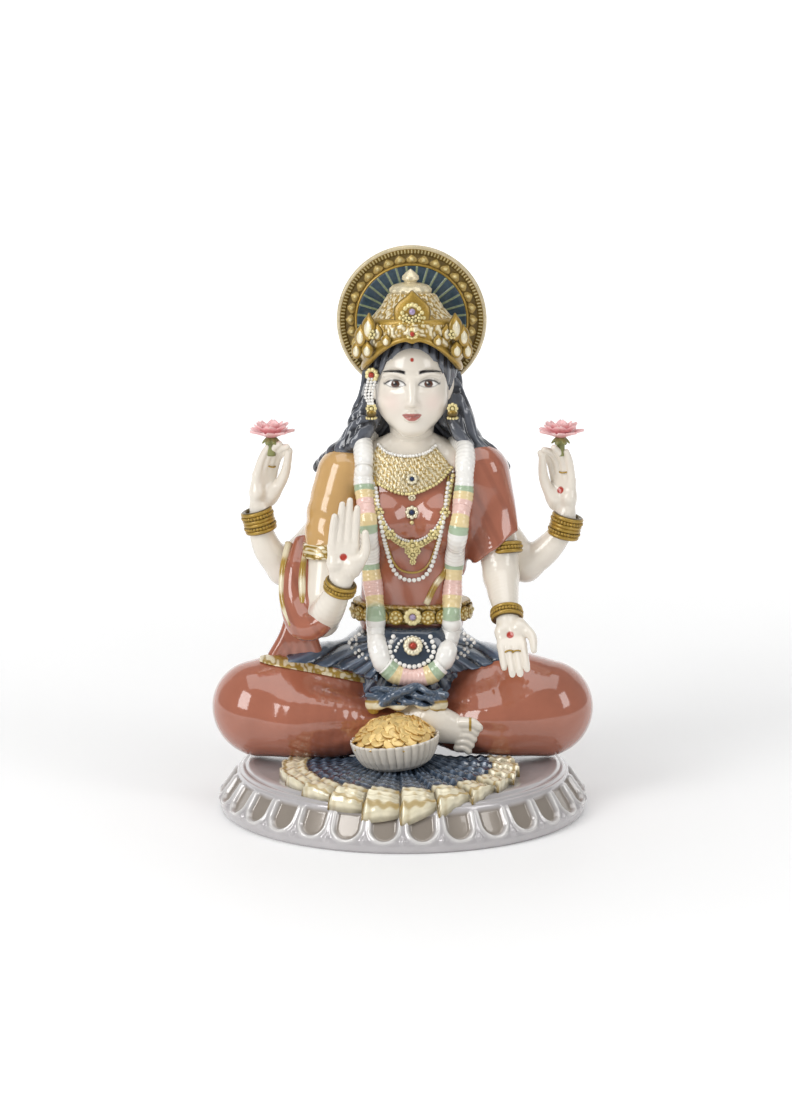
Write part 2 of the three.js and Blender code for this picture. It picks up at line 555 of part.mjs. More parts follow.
// ---------------------------------------------------------------- lotus flowers
function lotus([x, y, z]) {
  const flower = ball([0, 0, 0], [1, 1, 1], 3 * LOTUS.petals, 6);
  return shaped(flower, (v) => {
    const scallop = 1 + 0.16 * Math.cos(LOTUS.petals * Math.atan2(v.y, v.x)) * Math.hypot(v.x, v.y);
    const cup = 0.5 * Math.hypot(v.x, v.y) ** 2;
    return new THREE.Vector3(
      x + v.x * LOTUS.width * 0.87 * scallop,
      y + v.y * LOTUS.width * 0.8 * scallop,
      z + (v.z * (0.55 + 0.3 * v.z) + cup) * LOTUS.height,
    );
  });
}
const LOTUS_RIGHT = [-74, 26, 208];
const LOTUS_LEFT = [88.7, 26, 208];
for (const [side, centre] of [['right', LOTUS_RIGHT], ['left', LOTUS_LEFT]]) {
  const [x, y, z] = centre;
  add(`lotus_${side}`, PINK, [lotus(centre)]);
  add(`lotus_calyx_${side}`, LEAF, [limb([[x, y, z - 8], [x, y, z - 2]], [2.6, 4], { sides: 8, rings: 5 })]);
}

// ---------------------------------------------------------------- bowl of coins and pleated cloth
const tilted = (geometry) => geometry.rotateY(degrees(-BOWL.tilt)).translate(BOWL.x, BOWL.y, BOWL.z);
function bowl() {
  const profile = [
    [0, -BOWL.depth], [13, -BOWL.depth], [19, -9], [23, -3], [BOWL.r, 0.4], [BOWL.r - 1.8, 1],
    [20.5, -3], [16.5, -8], [12, -BOWL.depth + 3], [0, -BOWL.depth + 3],
  ];
  return shaped(turned(profile, 32), (v) => {
    const flute = 1 + 0.03 * Math.cos(16 * Math.atan2(v.y, v.x));
    return v.multiply(new THREE.Vector3(flute, flute, 1));
  });
}
add('coin_bowl', WHITE, [tilted(bowl())]);
const HEAP = [[0, -10], [11, -10], [15.3, -7.4], [19, -2.8], [20.6, 1.2], [19, 6], [12, 11], [0, 14]];
add('coin_heap', COIN, [tilted(turned(HEAP, 16))]);

const fanRadius = (turn) => mix(FAN.front, FAN.side, Math.abs(turn) ** 1.6);
function fanPoint(turn, radius, lift) {
  const angle = turn * degrees(FAN.spread);
  const x = FAN.x + radius * Math.sin(angle);
  const y = FAN.y - radius * Math.cos(angle);
  const raised = 10 * Math.max(0, 1 - radius / 50) ** 1.5;
  return new THREE.Vector3(x, y, plinthHeight(Math.hypot(x, y)) + raised + lift);
}
function fan(inner, outer, steps, pleats, thickness, ragged) {
  return sheet(2 * pleats, steps, (u, v, w) => {
    const turn = 2 * u - 1;
    const fold = Math.round(u * 2 * pleats) % 2;
    const radius = mix(inner(turn), outer(turn) - ragged * fold, v);
    return fanPoint(turn, radius, 0.5 + w * (thickness + 0.8 * fold));
  });
}
const blueRadius = (turn) => fanRadius(turn) * FAN.blue / FAN.front;
add('pleat_fan', SLATE, [fan(() => FAN.inner, blueRadius, 3, 14, 2.6, 0)]);
add('pleat_fan_hem', CREAM, [fan((turn) => blueRadius(turn) + 0.5, fanRadius, 2, FAN.folds, 2.2, 4)]);

export default statue;
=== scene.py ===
import json
import math

import bpy
import numpy as np
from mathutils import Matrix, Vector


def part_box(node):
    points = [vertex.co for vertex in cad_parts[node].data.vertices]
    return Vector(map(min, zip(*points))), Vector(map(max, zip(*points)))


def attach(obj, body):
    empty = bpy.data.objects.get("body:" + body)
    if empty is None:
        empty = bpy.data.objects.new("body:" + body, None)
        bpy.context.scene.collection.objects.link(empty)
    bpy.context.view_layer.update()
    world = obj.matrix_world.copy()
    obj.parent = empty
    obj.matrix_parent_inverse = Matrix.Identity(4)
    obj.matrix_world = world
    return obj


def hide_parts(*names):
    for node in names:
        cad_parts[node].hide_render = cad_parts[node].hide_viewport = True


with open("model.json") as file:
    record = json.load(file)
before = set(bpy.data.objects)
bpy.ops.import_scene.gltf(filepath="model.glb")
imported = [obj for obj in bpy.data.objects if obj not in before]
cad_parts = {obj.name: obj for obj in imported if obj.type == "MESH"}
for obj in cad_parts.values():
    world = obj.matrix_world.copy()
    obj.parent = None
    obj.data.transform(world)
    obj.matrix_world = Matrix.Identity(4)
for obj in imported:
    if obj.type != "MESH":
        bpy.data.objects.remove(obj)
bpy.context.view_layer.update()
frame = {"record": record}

import openvdb
from mathutils import Vector
from mathutils.bvhtree import BVHTree

MM = 0.001
CHANCE = np.random.default_rng(11)
PIECES = {}
SLOTS = {row["node"]: row["material_slot"] for row in frame["record"]["subparts"]}


# ------------------------------------------------------------------ colours
def rgb(code):
    """A linear colour from an sRGB hex code."""
    shares = np.array([int(code[i:i + 2], 16) for i in (0, 2, 4)]) / 255
    return np.where(shares <= 0.04045, shares / 12.92, ((shares + 0.055) / 1.055) ** 2.4)


SKIN = rgb("e9e1d4")
TERRACOTTA, TERRACOTTA_DEEP = rgb("a8664f"), rgb("7a4434")
SLATE, SLATE_DEEP, SLATE_HIGHLIGHT = rgb("4a5a6e"), rgb("1f2835"), rgb("8492a5")
OCHRE = rgb("c9a168")
HAIR, HAIR_SHADE = rgb("5b5f68"), rgb("25272d")
GOLD, GOLD_DEEP, GOLD_PALE = rgb("ab8a38"), rgb("5c4916"), rgb("e6d79c")
CREAM = rgb("ece3c6")
WHITE = rgb("f3f1ec")
PEARL, TAUPE = rgb("bdb9ba"), rgb("978d82")
TEAL, RAY = rgb("1f3b4c"), rgb("7f8c68")
PEACH, ROSE, GREEN = rgb("e9d3a0"), rgb("ecc6bc"), rgb("a9bd9f")
LOTUS, LOTUS_PALE = rgb("e88f98"), rgb("f8d0cf")
LEAF = rgb("84874f")
COIN, COIN_SHADE = rgb("f0cf86"), rgb("b0802c")
RED, BLUE, LILAC = rgb("b23b2c"), rgb("1d3158"), rgb("a493b4")
BROW, IRIS, LIP = rgb("222228"), rgb("53301f"), rgb("a8463c")


def blended(low, high, share):
    """Colours between two, for an array of shares from 0 to 1."""
    share = np.clip(share, 0, 1)[..., None]
    return low * (1 - share) + high * share


def smooth(low, high, value):
    """0 below low, 1 above high, eased between."""
    share = np.clip((value - low) / (high - low), 0, 1)
    return share * share * (3 - 2 * share)


# ------------------------------------------------------------------ materials
def glaze(name, roughness=0.16, metallic=0.0, coat=0.6, grain=900.0, mottle=0.06, relief=0.04):
    """A fired glaze: the painted tint, mottled by the brush, under a clear coat."""
    material = bpy.data.materials.new(name)
    material.use_nodes = True
    nodes, links = material.node_tree.nodes, material.node_tree.links
    shader = nodes["Principled BSDF"]
    shader.inputs["Metallic"].default_value = metallic
    shader.inputs["Coat Weight"].default_value = coat
    shader.inputs["Coat Roughness"].default_value = 0.03
    tint = nodes.new("ShaderNodeAttribute")
    tint.attribute_name = "Tint"
    place = nodes.new("ShaderNodeTexCoord")
    brush = nodes.new("ShaderNodeTexNoise")
    brush.inputs["Scale"].default_value = grain / 8
    brush.inputs["Detail"].default_value = 4
    fine = nodes.new("ShaderNodeTexNoise")
    fine.inputs["Scale"].default_value = grain
    for noise in (brush, fine):
        links.new(place.outputs["Object"], noise.inputs["Vector"])
    spread = nodes.new("ShaderNodeMapRange")
    spread.inputs["To Min"].default_value = 1 - 2 * mottle
    spread.inputs["To Max"].default_value = 1 + 2 * mottle
    links.new(brush.outputs["Fac"], spread.inputs["Value"])
    shade = nodes.new("ShaderNodeHueSaturation")
    links.new(tint.outputs["Color"], shade.inputs["Color"])
    links.new(spread.outputs["Result"], shade.inputs["Value"])
    links.new(shade.outputs["Color"], shader.inputs["Base Color"])
    polish = nodes.new("ShaderNodeMapRange")
    polish.inputs["To Min"].default_value = roughness * 0.7
    polish.inputs["To Max"].default_value = roughness * 1.3
    links.new(fine.outputs["Fac"], polish.inputs["Value"])
    links.new(polish.outputs["Result"], shader.inputs["Roughness"])
    bump = nodes.new("ShaderNodeBump")
    bump.inputs["Strength"].default_value = relief
    bump.inputs["Distance"].default_value = 0.0003
    links.new(fine.outputs["Fac"], bump.inputs["Height"])
    links.new(bump.outputs["Normal"], shader.inputs["Normal"])
    return material


MATERIALS = {
    "pearl_glaze": glaze("pearl_glaze", 0.2, 0.12, 0.8, 700, 0.05),
    "skin_glaze": glaze("skin_glaze", 0.22, 0.0, 0.5, 900, 0.02, 0.02),
    "terracotta_glaze": glaze("terracotta_glaze", 0.12, 0.0, 0.9, 500, 0.08),
    "slate_glaze": glaze("slate_glaze", 0.14, 0.0, 0.8, 1200, 0.16),
    "ochre_glaze": glaze("ochre_glaze", 0.14, 0.0, 0.8, 600, 0.06),
    "cream_gold_trim": glaze("cream_gold_trim", 0.18, 0.1, 0.6, 1600, 0.12, 0.2),
    "antique_gold": glaze("antique_gold", 0.3, 0.45, 0.35, 2200, 0.16, 0.5),
    "lilac_jewel": glaze("lilac_jewel", 0.1, 0.0, 1.0, 1500, 0.05),
    "hair_glaze": glaze("hair_glaze", 0.16, 0.0, 0.8, 1500, 0.14, 0.1),
    "teal_glaze": glaze("teal_glaze", 0.2, 0.0, 0.6, 5000, 0.3, 0.4),
    "white_pearl": glaze("white_pearl", 0.14, 0.0, 0.8, 900, 0.02),
    "garland_glaze": glaze("garland_glaze", 0.16, 0.0, 0.7, 900, 0.03, 0.06),
    "lotus_pink": glaze("lotus_pink", 0.35, 0.0, 0.2, 1500, 0.06),
    "leaf_green": glaze("leaf_green", 0.35, 0.0, 0.2, 1500, 0.15, 0.2),
    "bowl_white": glaze("bowl_white", 0.14, 0.0, 0.8, 800, 0.02),
    "coin_gold": glaze("coin_gold", 0.24, 0.2, 0.5, 2500, 0.08, 0.2),
}


# ------------------------------------------------------------------ boxes and paths
class Box:
    """A CAD node's box in millimetres."""

    def __init__(self, *nodes):
        corners = [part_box(node) for node in nodes]
        self.low = np.min([np.array(low) for low, _ in corners], axis=0) / MM
        self.high = np.max([np.array(high) for _, high in corners], axis=0) / MM
        self.centre = (self.low + self.high) / 2
        self.half = (self.high - self.low) / 2

    def at(self, x, y, z):
        """A point in the box, each share from -1 at its low side to 1 at its high side."""
        return self.centre + self.half * np.array((x, y, z))

    def outline(self, rows):
        """[x, z] shares of the box as places in the XZ plane."""
        return [self.at(x, 0, z)[[0, 2]] for x, z in rows]


def mirrored(half):
    """[x, z] rows from the left end to the middle, carried on to the right end by mirror image."""
    return half + [(-x, z) for x, z in half[-2::-1]]


def both_sides(rows):
    """Rows that start with x, each first at -x and then at x."""
    return [(side * x, *rest) for x, *rest in rows for side in (-1, 1)]


def smooth_path(points, steps=10):
    """A Catmull-Rom path through points or rows of numbers."""
    rows = np.array(points, float)
    padded = np.vstack([2 * rows[0] - rows[1], rows, 2 * rows[-1] - rows[-2]])
    shares = np.linspace(0, 1, steps, endpoint=False)[:, None]
    pieces = []
    for a, b, c, d in zip(padded, padded[1:], padded[2:], padded[3:]):
        cubic = (3 * b - a - 3 * c + d) * shares ** 3 + (2 * a - 5 * b + 4 * c - d) * shares ** 2
        pieces.append((cubic + (c - a) * shares + 2 * b) / 2)
    return np.vstack([*pieces, rows[-1:]])


def spaced(path, gap):
    """Points an equal distance apart along a path, as close to gap as fits."""
    lengths = np.r_[0, np.cumsum(np.linalg.norm(np.diff(path, axis=0), axis=1))]
    count = max(2, round(lengths[-1] / gap) + 1)
    wanted = np.linspace(0, lengths[-1], count)
    return np.column_stack([np.interp(wanted, lengths, column) for column in path.T])


# ------------------------------------------------------------------ meshes
def make_object(name, points, quads, tints, node=None):
    """A piece from points in mm and quads, which stands for the CAD node of its name or of another."""
    node = node or name
    mesh = bpy.data.meshes.new(name)
    quads = np.asarray(quads, np.int32)
    mesh.vertices.add(len(points))
    mesh.vertices.foreach_set("co", (np.asarray(points) * MM).astype(np.float32).ravel())
    mesh.loops.add(quads.size)
    mesh.loops.foreach_set("vertex_index", quads.ravel())
    mesh.polygons.add(len(quads))
    mesh.polygons.foreach_set("loop_start", np.arange(0, quads.size, 4, dtype=np.int32))
    mesh.polygons.foreach_set("use_smooth", np.ones(len(quads), bool))
    mesh.update(calc_edges=True)
    layer = mesh.color_attributes.new("Tint", "FLOAT_COLOR", "POINT")
    colours = np.ones((len(points), 4), np.float32)
    colours[:, :3] = np.clip(tints, 0, 1)
    layer.data.foreach_set("color", colours.ravel())
    slot = SLOTS[node]
    mesh.materials.append(MATERIALS[slot])
    piece = bpy.data.objects.new(name, mesh)
    bpy.context.scene.collection.objects.link(piece)
    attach(piece, "root")
    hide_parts(node)
    PIECES[name] = piece


def wrapped_quads(rows, columns, close_rows=True, close_columns=True):
    """Quads of a grid of points whose rows and columns may close on themselves."""
    index = np.arange(rows * columns).reshape(rows, columns)
    if close_rows:
        index = np.vstack([index, index[:1]])
    if close_columns:
        index = np.hstack([index, index[:, :1]])
    return np.stack([index[:-1, :-1], index[1:, :-1], index[1:, 1:], index[:-1, 1:]], -1).reshape(-1, 4)


def turned(profile, segments):
    """Angles, and points of a closed [radius, height] profile turned about the Z axis."""
    angles = np.linspace(0, 2 * math.pi, segments, endpoint=False)
    radius, height = np.array(profile, float).T
    shape = (segments, len(radius))
    turn = np.broadcast_to(angles[:, None], shape)
    return turn, np.broadcast_to(radius, shape).copy(), np.broadcast_to(height, shape).copy()


def dense(profile, gap, closed=True):
    """A profile with more points, none farther apart than about gap."""
    rows = np.array(profile, float)
    ends = np.vstack([rows[1:], rows[:1]]) if closed else rows[1:]
    fine = []
    for start, end in zip(rows, ends):
        count = max(1, math.ceil(np.linalg.norm(end - start) / gap))
        fine.append(start + (end - start) * np.linspace(0, 1, count, endpoint=False)[:, None])
    return np.vstack(fine)


def orb(cuts):
    """A unit sphere of quads, cut from a cube."""
    steps = np.tan(np.linspace(-1, 1, cuts + 1) * math.pi / 4)
    a, b = np.meshgrid(steps, steps, indexing="ij")
    one = np.ones_like(a)
    sides = [(one, a, b), (-one, b, a), (a, -one, b), (b, one, a), (a, b, -one), (b, a, one)]
    points, quads = [], []
    for number, side in enumerate(sides):
        grid = np.stack(side, -1).reshape(-1, 3)
        face = wrapped_quads(cuts + 1, cuts + 1, False, False)
        points.append(grid)
        quads.append(face + number * len(grid))
    points, quads = np.vstack(points), np.vstack(quads)
    points /= np.linalg.norm(points, axis=1)[:, None]
    _, first, same = np.unique(np.round(points, 6), axis=0, return_index=True, return_inverse=True)
    quads = same.ravel()[quads]
    points = points[first]
    corners = points[quads]
    facing = np.einsum("ij,ij->i", np.cross(corners[:, 1] - corners[:, 0], corners[:, 2] - corners[:, 0]),
                       corners.mean(axis=1))
    quads[facing < 0] = quads[facing < 0][:, ::-1]
    return points, quads


def axes_for(normal):
    """Three axes as rows: across, up, and the given normal."""
    normal = np.array(normal, float) / np.linalg.norm(normal)
    up = np.array((0.0, 0.0, 1.0)) if abs(normal[2]) < 0.9 else np.array((0.0, 1.0, 0.0))
    across = np.cross(up, normal)
    across /= np.linalg.norm(across)
    return np.array([across, np.cross(normal, across), normal])


class Kit:
    """Small parts gathered into one mesh, each vertex with its own tint."""

    ORBS = {cuts: orb(cuts) for cuts in (2, 3, 4, 6)}

    def __init__(self):
        self.points, self.quads, self.tints, self.count = [], [], [], 0

    def add(self, points, quads, tints):
        self.points.append(points)
        self.quads.append(np.asarray(quads) + self.count)
        self.tints.append(np.broadcast_to(tints, points.shape))
        self.count += len(points)

    def lump(self, centre, radii, tint, normal=(0, -1, 0), deep=None, cuts=3, shape=None):
        """A squashed ball: radii across, up and along the normal. Its foot takes the deep tint, a painted
        shade where the ball sits on what lies under it.
        """
        ball, quads = self.ORBS[cuts]
        local = ball.copy() if shape is None else shape(ball.copy())
        points = (local * np.array(radii, float)) @ axes_for(normal) + centre
        # Painted shade: the foot of the ball, on the side away from the normal, darkens to the deep tint.
        tints = tint if deep is None else blended(deep, tint, smooth(-0.2, 0.75, ball[:, 2]))
        self.add(points, quads, tints)

    def bead(self, centre, radius, tint, deep=None, normal=(0, -1, 0)):
        self.lump(centre, (radius, radius, radius), tint, normal, deep)

    def beads(self, path, radius, tint, deep=None):
        """A string of touching beads."""
        for centre in spaced(np.array(path), 2 * radius):
            self.bead(centre, radius, tint, deep)

    def disc(self, centre, normal, radius, thickness, tint, deep=None):
        """A coin: a disc with a bevelled edge."""
        def flatten(ball):
            across = np.linalg.norm(ball[:, :2], axis=1, keepdims=True)
            ball[:, :2] *= np.minimum(1, 1.3 * across) / np.maximum(across, 1e-6)
            ball[:, 2] = np.clip(2.2 * ball[:, 2], -1, 1)
            return ball
        self.lump(centre, (radius, radius, thickness / 2), tint, normal, deep, 4, flatten)

    def rosette(self, centre, normal, radius, gem=None, petals=7, tint=GOLD_PALE, deep=GOLD_DEEP):
        """A flower boss: a ring of petals round a gem or a bud."""
        across, up, out = axes_for(normal)
        for number in range(petals):
            turn = 2 * math.pi * number / petals
            place = centre + (across * math.cos(turn) + up * math.sin(turn)) * radius * 0.66
            self.lump(place, (radius * 0.36,) * 2 + (radius * 0.3,), tint, out, deep)
        heart = tint if gem is None else gem
        shadow = deep if gem is None else None
        self.lump(centre + out * radius * 0.22, (radius * 0.36,) * 3, heart, out, shadow)

    def tube(self, path, radii, tints, sides=10):
        """A swept tube with closed ends. Radii and tints are one value or one for each point."""
        path = np.asarray(path, float)
        count = len(path)
        radii = np.broadcast_to(radii, count)
        tangents = np.gradient(path, axis=0)
        tangents /= np.linalg.norm(tangents, axis=1)[:, None]
        side = axes_for(tangents[0])[0]
        turns = 2 * math.pi * np.arange(sides) / sides
        rings = []
        for point, tangent, radius in zip(path, tangents, radii):
            side = side - tangent * side.dot(tangent)
            side /= np.linalg.norm(side)
            other = np.cross(tangent, side)
            rings.append(point + radius * (np.cos(turns)[:, None] * side + np.sin(turns)[:, None] * other))
        quads = wrapped_quads(count, sides, close_rows=False)[:, ::-1]
        fan = np.array([(0, i, i + 1, i + 2) for i in range(1, sides - 2, 2)])
        quads = np.vstack([quads, fan[:, ::-1], fan + (count - 1) * sides])
        tints = np.repeat(np.broadcast_to(tints, (count, 3)), sides, axis=0)
        self.add(np.vstack(rings), quads, tints)

    def build(self, name, node=None):
        make_object(name, np.vstack(self.points), np.vstack(self.quads), np.vstack(self.tints), node)


# ------------------------------------------------------------------ clay
FAR = 8.0


class Clay:
    """A solid modelled as a distance field in millimetres, then skinned with quads."""

    def __init__(self, box, step, margin=6.0):
        self.step = step
        self.low = box.low - margin
        counts = np.ceil((box.high - box.low + 2 * margin) / step).astype(int) + 1
        self.axes = [self.low[i] + step * np.arange(counts[i]) for i in range(3)]
        self.value = np.full(counts, FAR, np.float32)

    def window(self, low, high):
        """The part of the grid inside a box, as slices and as its x, y and z."""
        slices, places = [], []
        for number, axis in enumerate(self.axes):
            first = int(np.clip(np.searchsorted(axis, low[number]), 0, len(axis)))
            last = int(np.clip(np.searchsorted(axis, high[number]), first, len(axis)))
            slices.append(slice(first, last))
            shape = [1, 1, 1]
            shape[number] = -1
            places.append(axis[first:last].astype(np.float32).reshape(shape))
        return tuple(slices), places

    def merge(self, slices, distance, blend, remove=False):
        """Joins a distance to the field, or removes it, with a rounded seam."""
        old = -self.value[slices] if remove else self.value[slices]
        share = np.clip(0.5 + 0.5 * (old - distance) / blend, 0, 1)
        joined = old * (1 - share) + distance * share - blend * share * (1 - share)
        self.value[slices] = -joined if remove else joined

    def limb(self, points, radii, blend=2.0, steps=6, flat=None):
        """A round limb through points. flat is (direction, share), which thins it that way."""
        rows = np.column_stack([np.array(points, float), np.broadcast_to(radii, len(points))])
        path = smooth_path(rows, steps)
        reach = path[:, 3].max() + FAR / 2 + blend
        slices, (x, y, z) = self.window(path[:, :3].min(axis=0) - reach, path[:, :3].max(axis=0) + reach)
        nearest = None
        for start, end in zip(path, path[1:]):
            run = end[:3] - start[:3]
            length = max(float(run.dot(run)), 1e-6)
            dx, dy, dz = x - start[0], y - start[1], z - start[2]
            share = np.clip((dx * run[0] + dy * run[1] + dz * run[2]) / length, 0, 1)
            dx, dy, dz = dx - share * run[0], dy - share * run[1], dz - share * run[2]
            square = dx * dx + dy * dy + dz * dz
            if flat is not None:
                (nx, ny, nz), thin = flat
                square = square + (dx * nx + dy * ny + dz * nz) ** 2 * (1 / thin ** 2 - 1)
            distance = np.sqrt(square) - (start[3] + share * (end[3] - start[3]))
            nearest = distance if nearest is None else np.minimum(nearest, distance)
        self.merge(slices, nearest if flat is None else nearest * (0.5 + 0.5 * flat[1]), blend)

    def blob(self, centre, radii, blend=2.0, remove=False):
        """An ellipsoid."""
        radii = np.broadcast_to(np.array(radii, float), 3)
        reach = radii + FAR / 2 + blend
        slices, (x, y, z) = self.window(centre - reach, centre + reach)
        dx, dy, dz = x - centre[0], y - centre[1], z - centre[2]
        near = np.sqrt((dx / radii[0]) ** 2 + (dy / radii[1]) ** 2 + (dz / radii[2]) ** 2)
        slope = np.sqrt((dx / radii[0] ** 2) ** 2 + (dy / radii[1] ** 2) ** 2 + (dz / radii[2] ** 2) ** 2)
        self.merge(slices, near * (near - 1) / np.maximum(slope, 1e-4), blend, remove)

    def grow(self, amount):
        self.value -= amount

    def keep(self, outline, rounding=1.5):
        """Cuts the solid to an outline of [x, z] points, through its whole depth."""
        x, z = np.meshgrid(self.axes[0], self.axes[2], indexing="ij")
        edge = outline_distance(outline, x, z)[:, None, :]
        share = np.clip(0.5 - 0.5 * (edge - self.value) / rounding, 0, 1)
        self.value = edge * (1 - share) + self.value * share + rounding * share * (1 - share)

    def press(self, depth):
        """Moves the surface out by depth, a function of x, y and z."""
        slices, (x, y, z) = self.window([-1e9] * 3, [1e9] * 3)
        self.value[slices] -= depth(x, y, z)

    def skin(self, name, tints, kit=None):
        """The finished piece. tints gives a colour for each point, and kit adds small parts."""
        grid = openvdb.FloatGrid(FAR)
        grid.copyFromArray(np.clip(self.value, -FAR, FAR).astype(np.float32))
        points, quads = grid.convertToQuads()
        points = self.low + points * self.step
        points, quads = largest_body(points, quads)
        whole = kit or Kit()
        whole.add(points, quads, tints(points))
        whole.build(name)


def largest_body(points, quads):
    """Only the largest connected part of a mesh, so that no stray islands are left."""
    label = np.arange(len(points))
    for _ in range(200):
        lowest = label[quads].min(axis=1)
        before = label.copy()
        for corner in range(4):
            np.minimum.at(label, quads[:, corner], lowest)
        label = label[label]
        if np.array_equal(before, label):
            break
    names, counts = np.unique(label[quads[:, 0]], return_counts=True)
    kept = quads[label[quads[:, 0]] == names[counts.argmax()]]
    used, renumbered = np.unique(kept, return_inverse=True)
    return points[used], renumbered.reshape(-1, 4)


def outline_distance(outline, x, z):
    """The signed distance in the XZ plane to a closed outline, negative inside."""
    corners = np.array(outline, float)
    nearest = np.full(x.shape, 1e9)
    inside = np.zeros(x.shape, bool)
    for (ax, az), (bx, bz) in zip(corners, np.roll(corners, -1, axis=0)):
        ex, ez = bx - ax, bz - az
        share = np.clip(((x - ax) * ex + (z - az) * ez) / (ex * ex + ez * ez), 0, 1)
        nearest = np.minimum(nearest, np.hypot(x - ax - share * ex, z - az - share * ez))
        crosses = ((az > z) != (bz > z)) & (x < ex * (z - az) / (ez if ez else 1e-9) + ax)
        inside ^= crosses
    return np.where(inside, -nearest, nearest)


def gilt(crest):
    """Antique gold: brown in the ground, the ochre wash in the hollows with painted shade there too; gold on
    the slopes; cream on the crests, where it is rubbed and where a painted highlight lies as well.
    """
    return blended(blended(GOLD_DEEP, GOLD, smooth(0, 0.45, crest)), CREAM, 0.85 * smooth(0.55, 1, crest))


def plain(colour):
    return lambda points: np.broadcast_to(colour, points.shape)


def filigree(u, v, pitch):
    """Scrollwork over a surface: 0 in the ground, 1 on the crests."""
    a, b = 2 * math.pi * u / pitch, 2 * math.pi * v / pitch
    bend = 1.5 * np.sin(0.7 * a + 0.9 * b)
    rings = np.cos(a + bend) + np.cos(b - bend) + 0.6 * np.cos(1.7 * a - 1.3 * b + 1)
    return smooth(-0.5, 1.6, np.abs(rings))


def slab(top, bottom):
    """A closed body between two grids of points, top seen from outside."""
    rows, columns = top.shape[:2]
    ring = np.concatenate([top, bottom[:, ::-1]], axis=1)
    quads = wrapped_quads(rows, 2 * columns, close_rows=False)
    j = np.arange(columns - 1)
    cap = np.stack([j, j + 1, 2 * columns - 2 - j, 2 * columns - 1 - j], -1)
    return ring.reshape(-1, 3), np.vstack([quads, cap, cap[:, ::-1] + (rows - 1) * 2 * columns])


# ------------------------------------------------------------------ base
PETALS = 30
BASE = Box("base_plinth")
RIM = BASE.half[0]
FOOT_BAND = 7.0
SHOULDER = 20.2


def plinth_profile():
    """[radius, height] of the outer surface from the middle of the disc down to the foot."""
    top = BASE.high[2]
    disc = [(0, top - 0.6), (0.72 * RIM, top - 0.6), (0.8 * RIM, top - 0.3), (0.835 * RIM, top),
            (0.85 * RIM, top - 0.7)]
    shoulder = [(0.856 * RIM, top - 1.9), (0.87 * RIM, top - 1.5), (0.88 * RIM, top - 2),
                (0.886 * RIM, top - 3)]
    ridge = [(0.897 * RIM, top - 3.2), (0.903 * RIM, top - 4.2), (0.906 * RIM, SHOULDER)]
    band = [(0.937 * RIM, 15.4), (0.976 * RIM, 9.5), (0.994 * RIM, FOOT_BAND), (RIM, 4), (0.997 * RIM, 1.4)]
    return disc, shoulder + ridge, band


def plinth_height(radius):
    rows = np.array(sum(plinth_profile(), []))
    return np.interp(radius, rows[:, 0], rows[:, 1])


def plinth():
    disc, shoulder, band = plinth_profile()
    foot = [(0.985 * RIM, 0), (0.94 * RIM, 0), (0.92 * RIM, 2), (0.87 * RIM, 12), (0.78 * RIM, 19), (0, 19)]
    rows = np.vstack([disc, dense(shoulder + band, 0.6, closed=False), band[-1:], foot])
    turn, radius, height = turned(rows, PETALS * 28)
    pitch = 2 * math.pi / PETALS
    side = (turn / pitch - np.round(turn / pitch)) * pitch * radius
    gap = pitch * radius / 2 - np.abs(side)
    climb = (height - 5) * 1.25
    wide = 8.7
    edge = np.where(climb > wide + 1, np.abs(side) - wide, np.hypot(side, climb - wide - 1) - wide)
    zone = (radius > 0.9 * RIM) * smooth(SHOULDER + 0.5, SHOULDER - 1.5, height) * smooth(4, 6, height)
    inside = smooth(0, 1.8, -edge - 1.0)
    lip = np.exp(-((edge + 0.3) / 1.0) ** 2)
    rib = np.exp(-(gap / 0.7) ** 2) * smooth(2, 6, climb)
    bead = np.exp(-((gap / 1.5) ** 2 + ((climb - 2.2) / 2.2) ** 2) ** 2)
    lift = zone * (1.1 * lip - 1.7 * inside + 0.6 * rib + 1.3 * bead)
    slope = np.gradient(rows, axis=0)
    slope /= np.maximum(np.linalg.norm(slope, axis=1), 1e-6)[:, None]
    radius += lift * -slope[:, 1]
    height += lift * slope[:, 0]
    points = np.stack([radius * np.cos(turn), radius * np.sin(turn), height], -1).reshape(-1, 3)
    quads = wrapped_quads(len(turn), len(rows))[:, ::-1]
    tints = blended(PEARL, TAUPE, (zone * inside).ravel())
    tints = blended(tints, WHITE, (zone * lip * 0.6).ravel())
    make_object("base_plinth", points, quads, tints)


# ------------------------------------------------------------------ lap
RIGHT_LEG, LEFT_LEG = Box("right_leg"), Box("left_leg")
HIP = Box("belt").at(0, 0, -1)
CLOTH = 1.3


def leg_form(clay, leg):
    """A crossed leg: the thigh goes out to the knee, and the shin comes back in front."""
    if leg is RIGHT_LEG:
        thigh = [leg.at(0.29, 0.4, 0.24), leg.at(-0.17, 0.15, 0.06), leg.at(-0.57, -0.07, -0.06)]
        shin = [leg.at(-0.53, -0.24, -0.2), leg.at(-0.04, -0.48, -0.26), leg.at(0.45, -0.4, -0.36),
                leg.at(0.82, -0.45, -0.2)]
    else:
        thigh = [leg.at(-0.48, 0.39, 0.24), leg.at(0.05, 0.14, 0.06), leg.at(0.5, -0.08, -0.06)]
        shin = [leg.at(0.46, -0.24, -0.2), leg.at(-0.07, -0.43, -0.23), leg.at(-0.45, -0.32, -0.32),
                leg.at(-0.72, -0.2, -0.36)]
    clay.limb(thigh, (24, 27, 25.8), 5)
    clay.limb(shin, (23, 21, 16.5, 12), 7)


def fan_folds(centre, count, height, near, far):
    """Folds that spread in the XZ plane from a centre, deepest between two distances."""
    def depth(x, y, z):
        run = np.hypot(x - centre[0], z - centre[2])
        turn = np.arctan2(z - centre[2], x - centre[0])
        wave = np.sin(count * turn + 0.6 * np.sin(3 * turn)) + 0.35 * np.sin(2.3 * count * turn + 1)
        return height * wave * smooth(near * 0.5, near, run) * smooth(far, far * 0.6, run)
    return depth


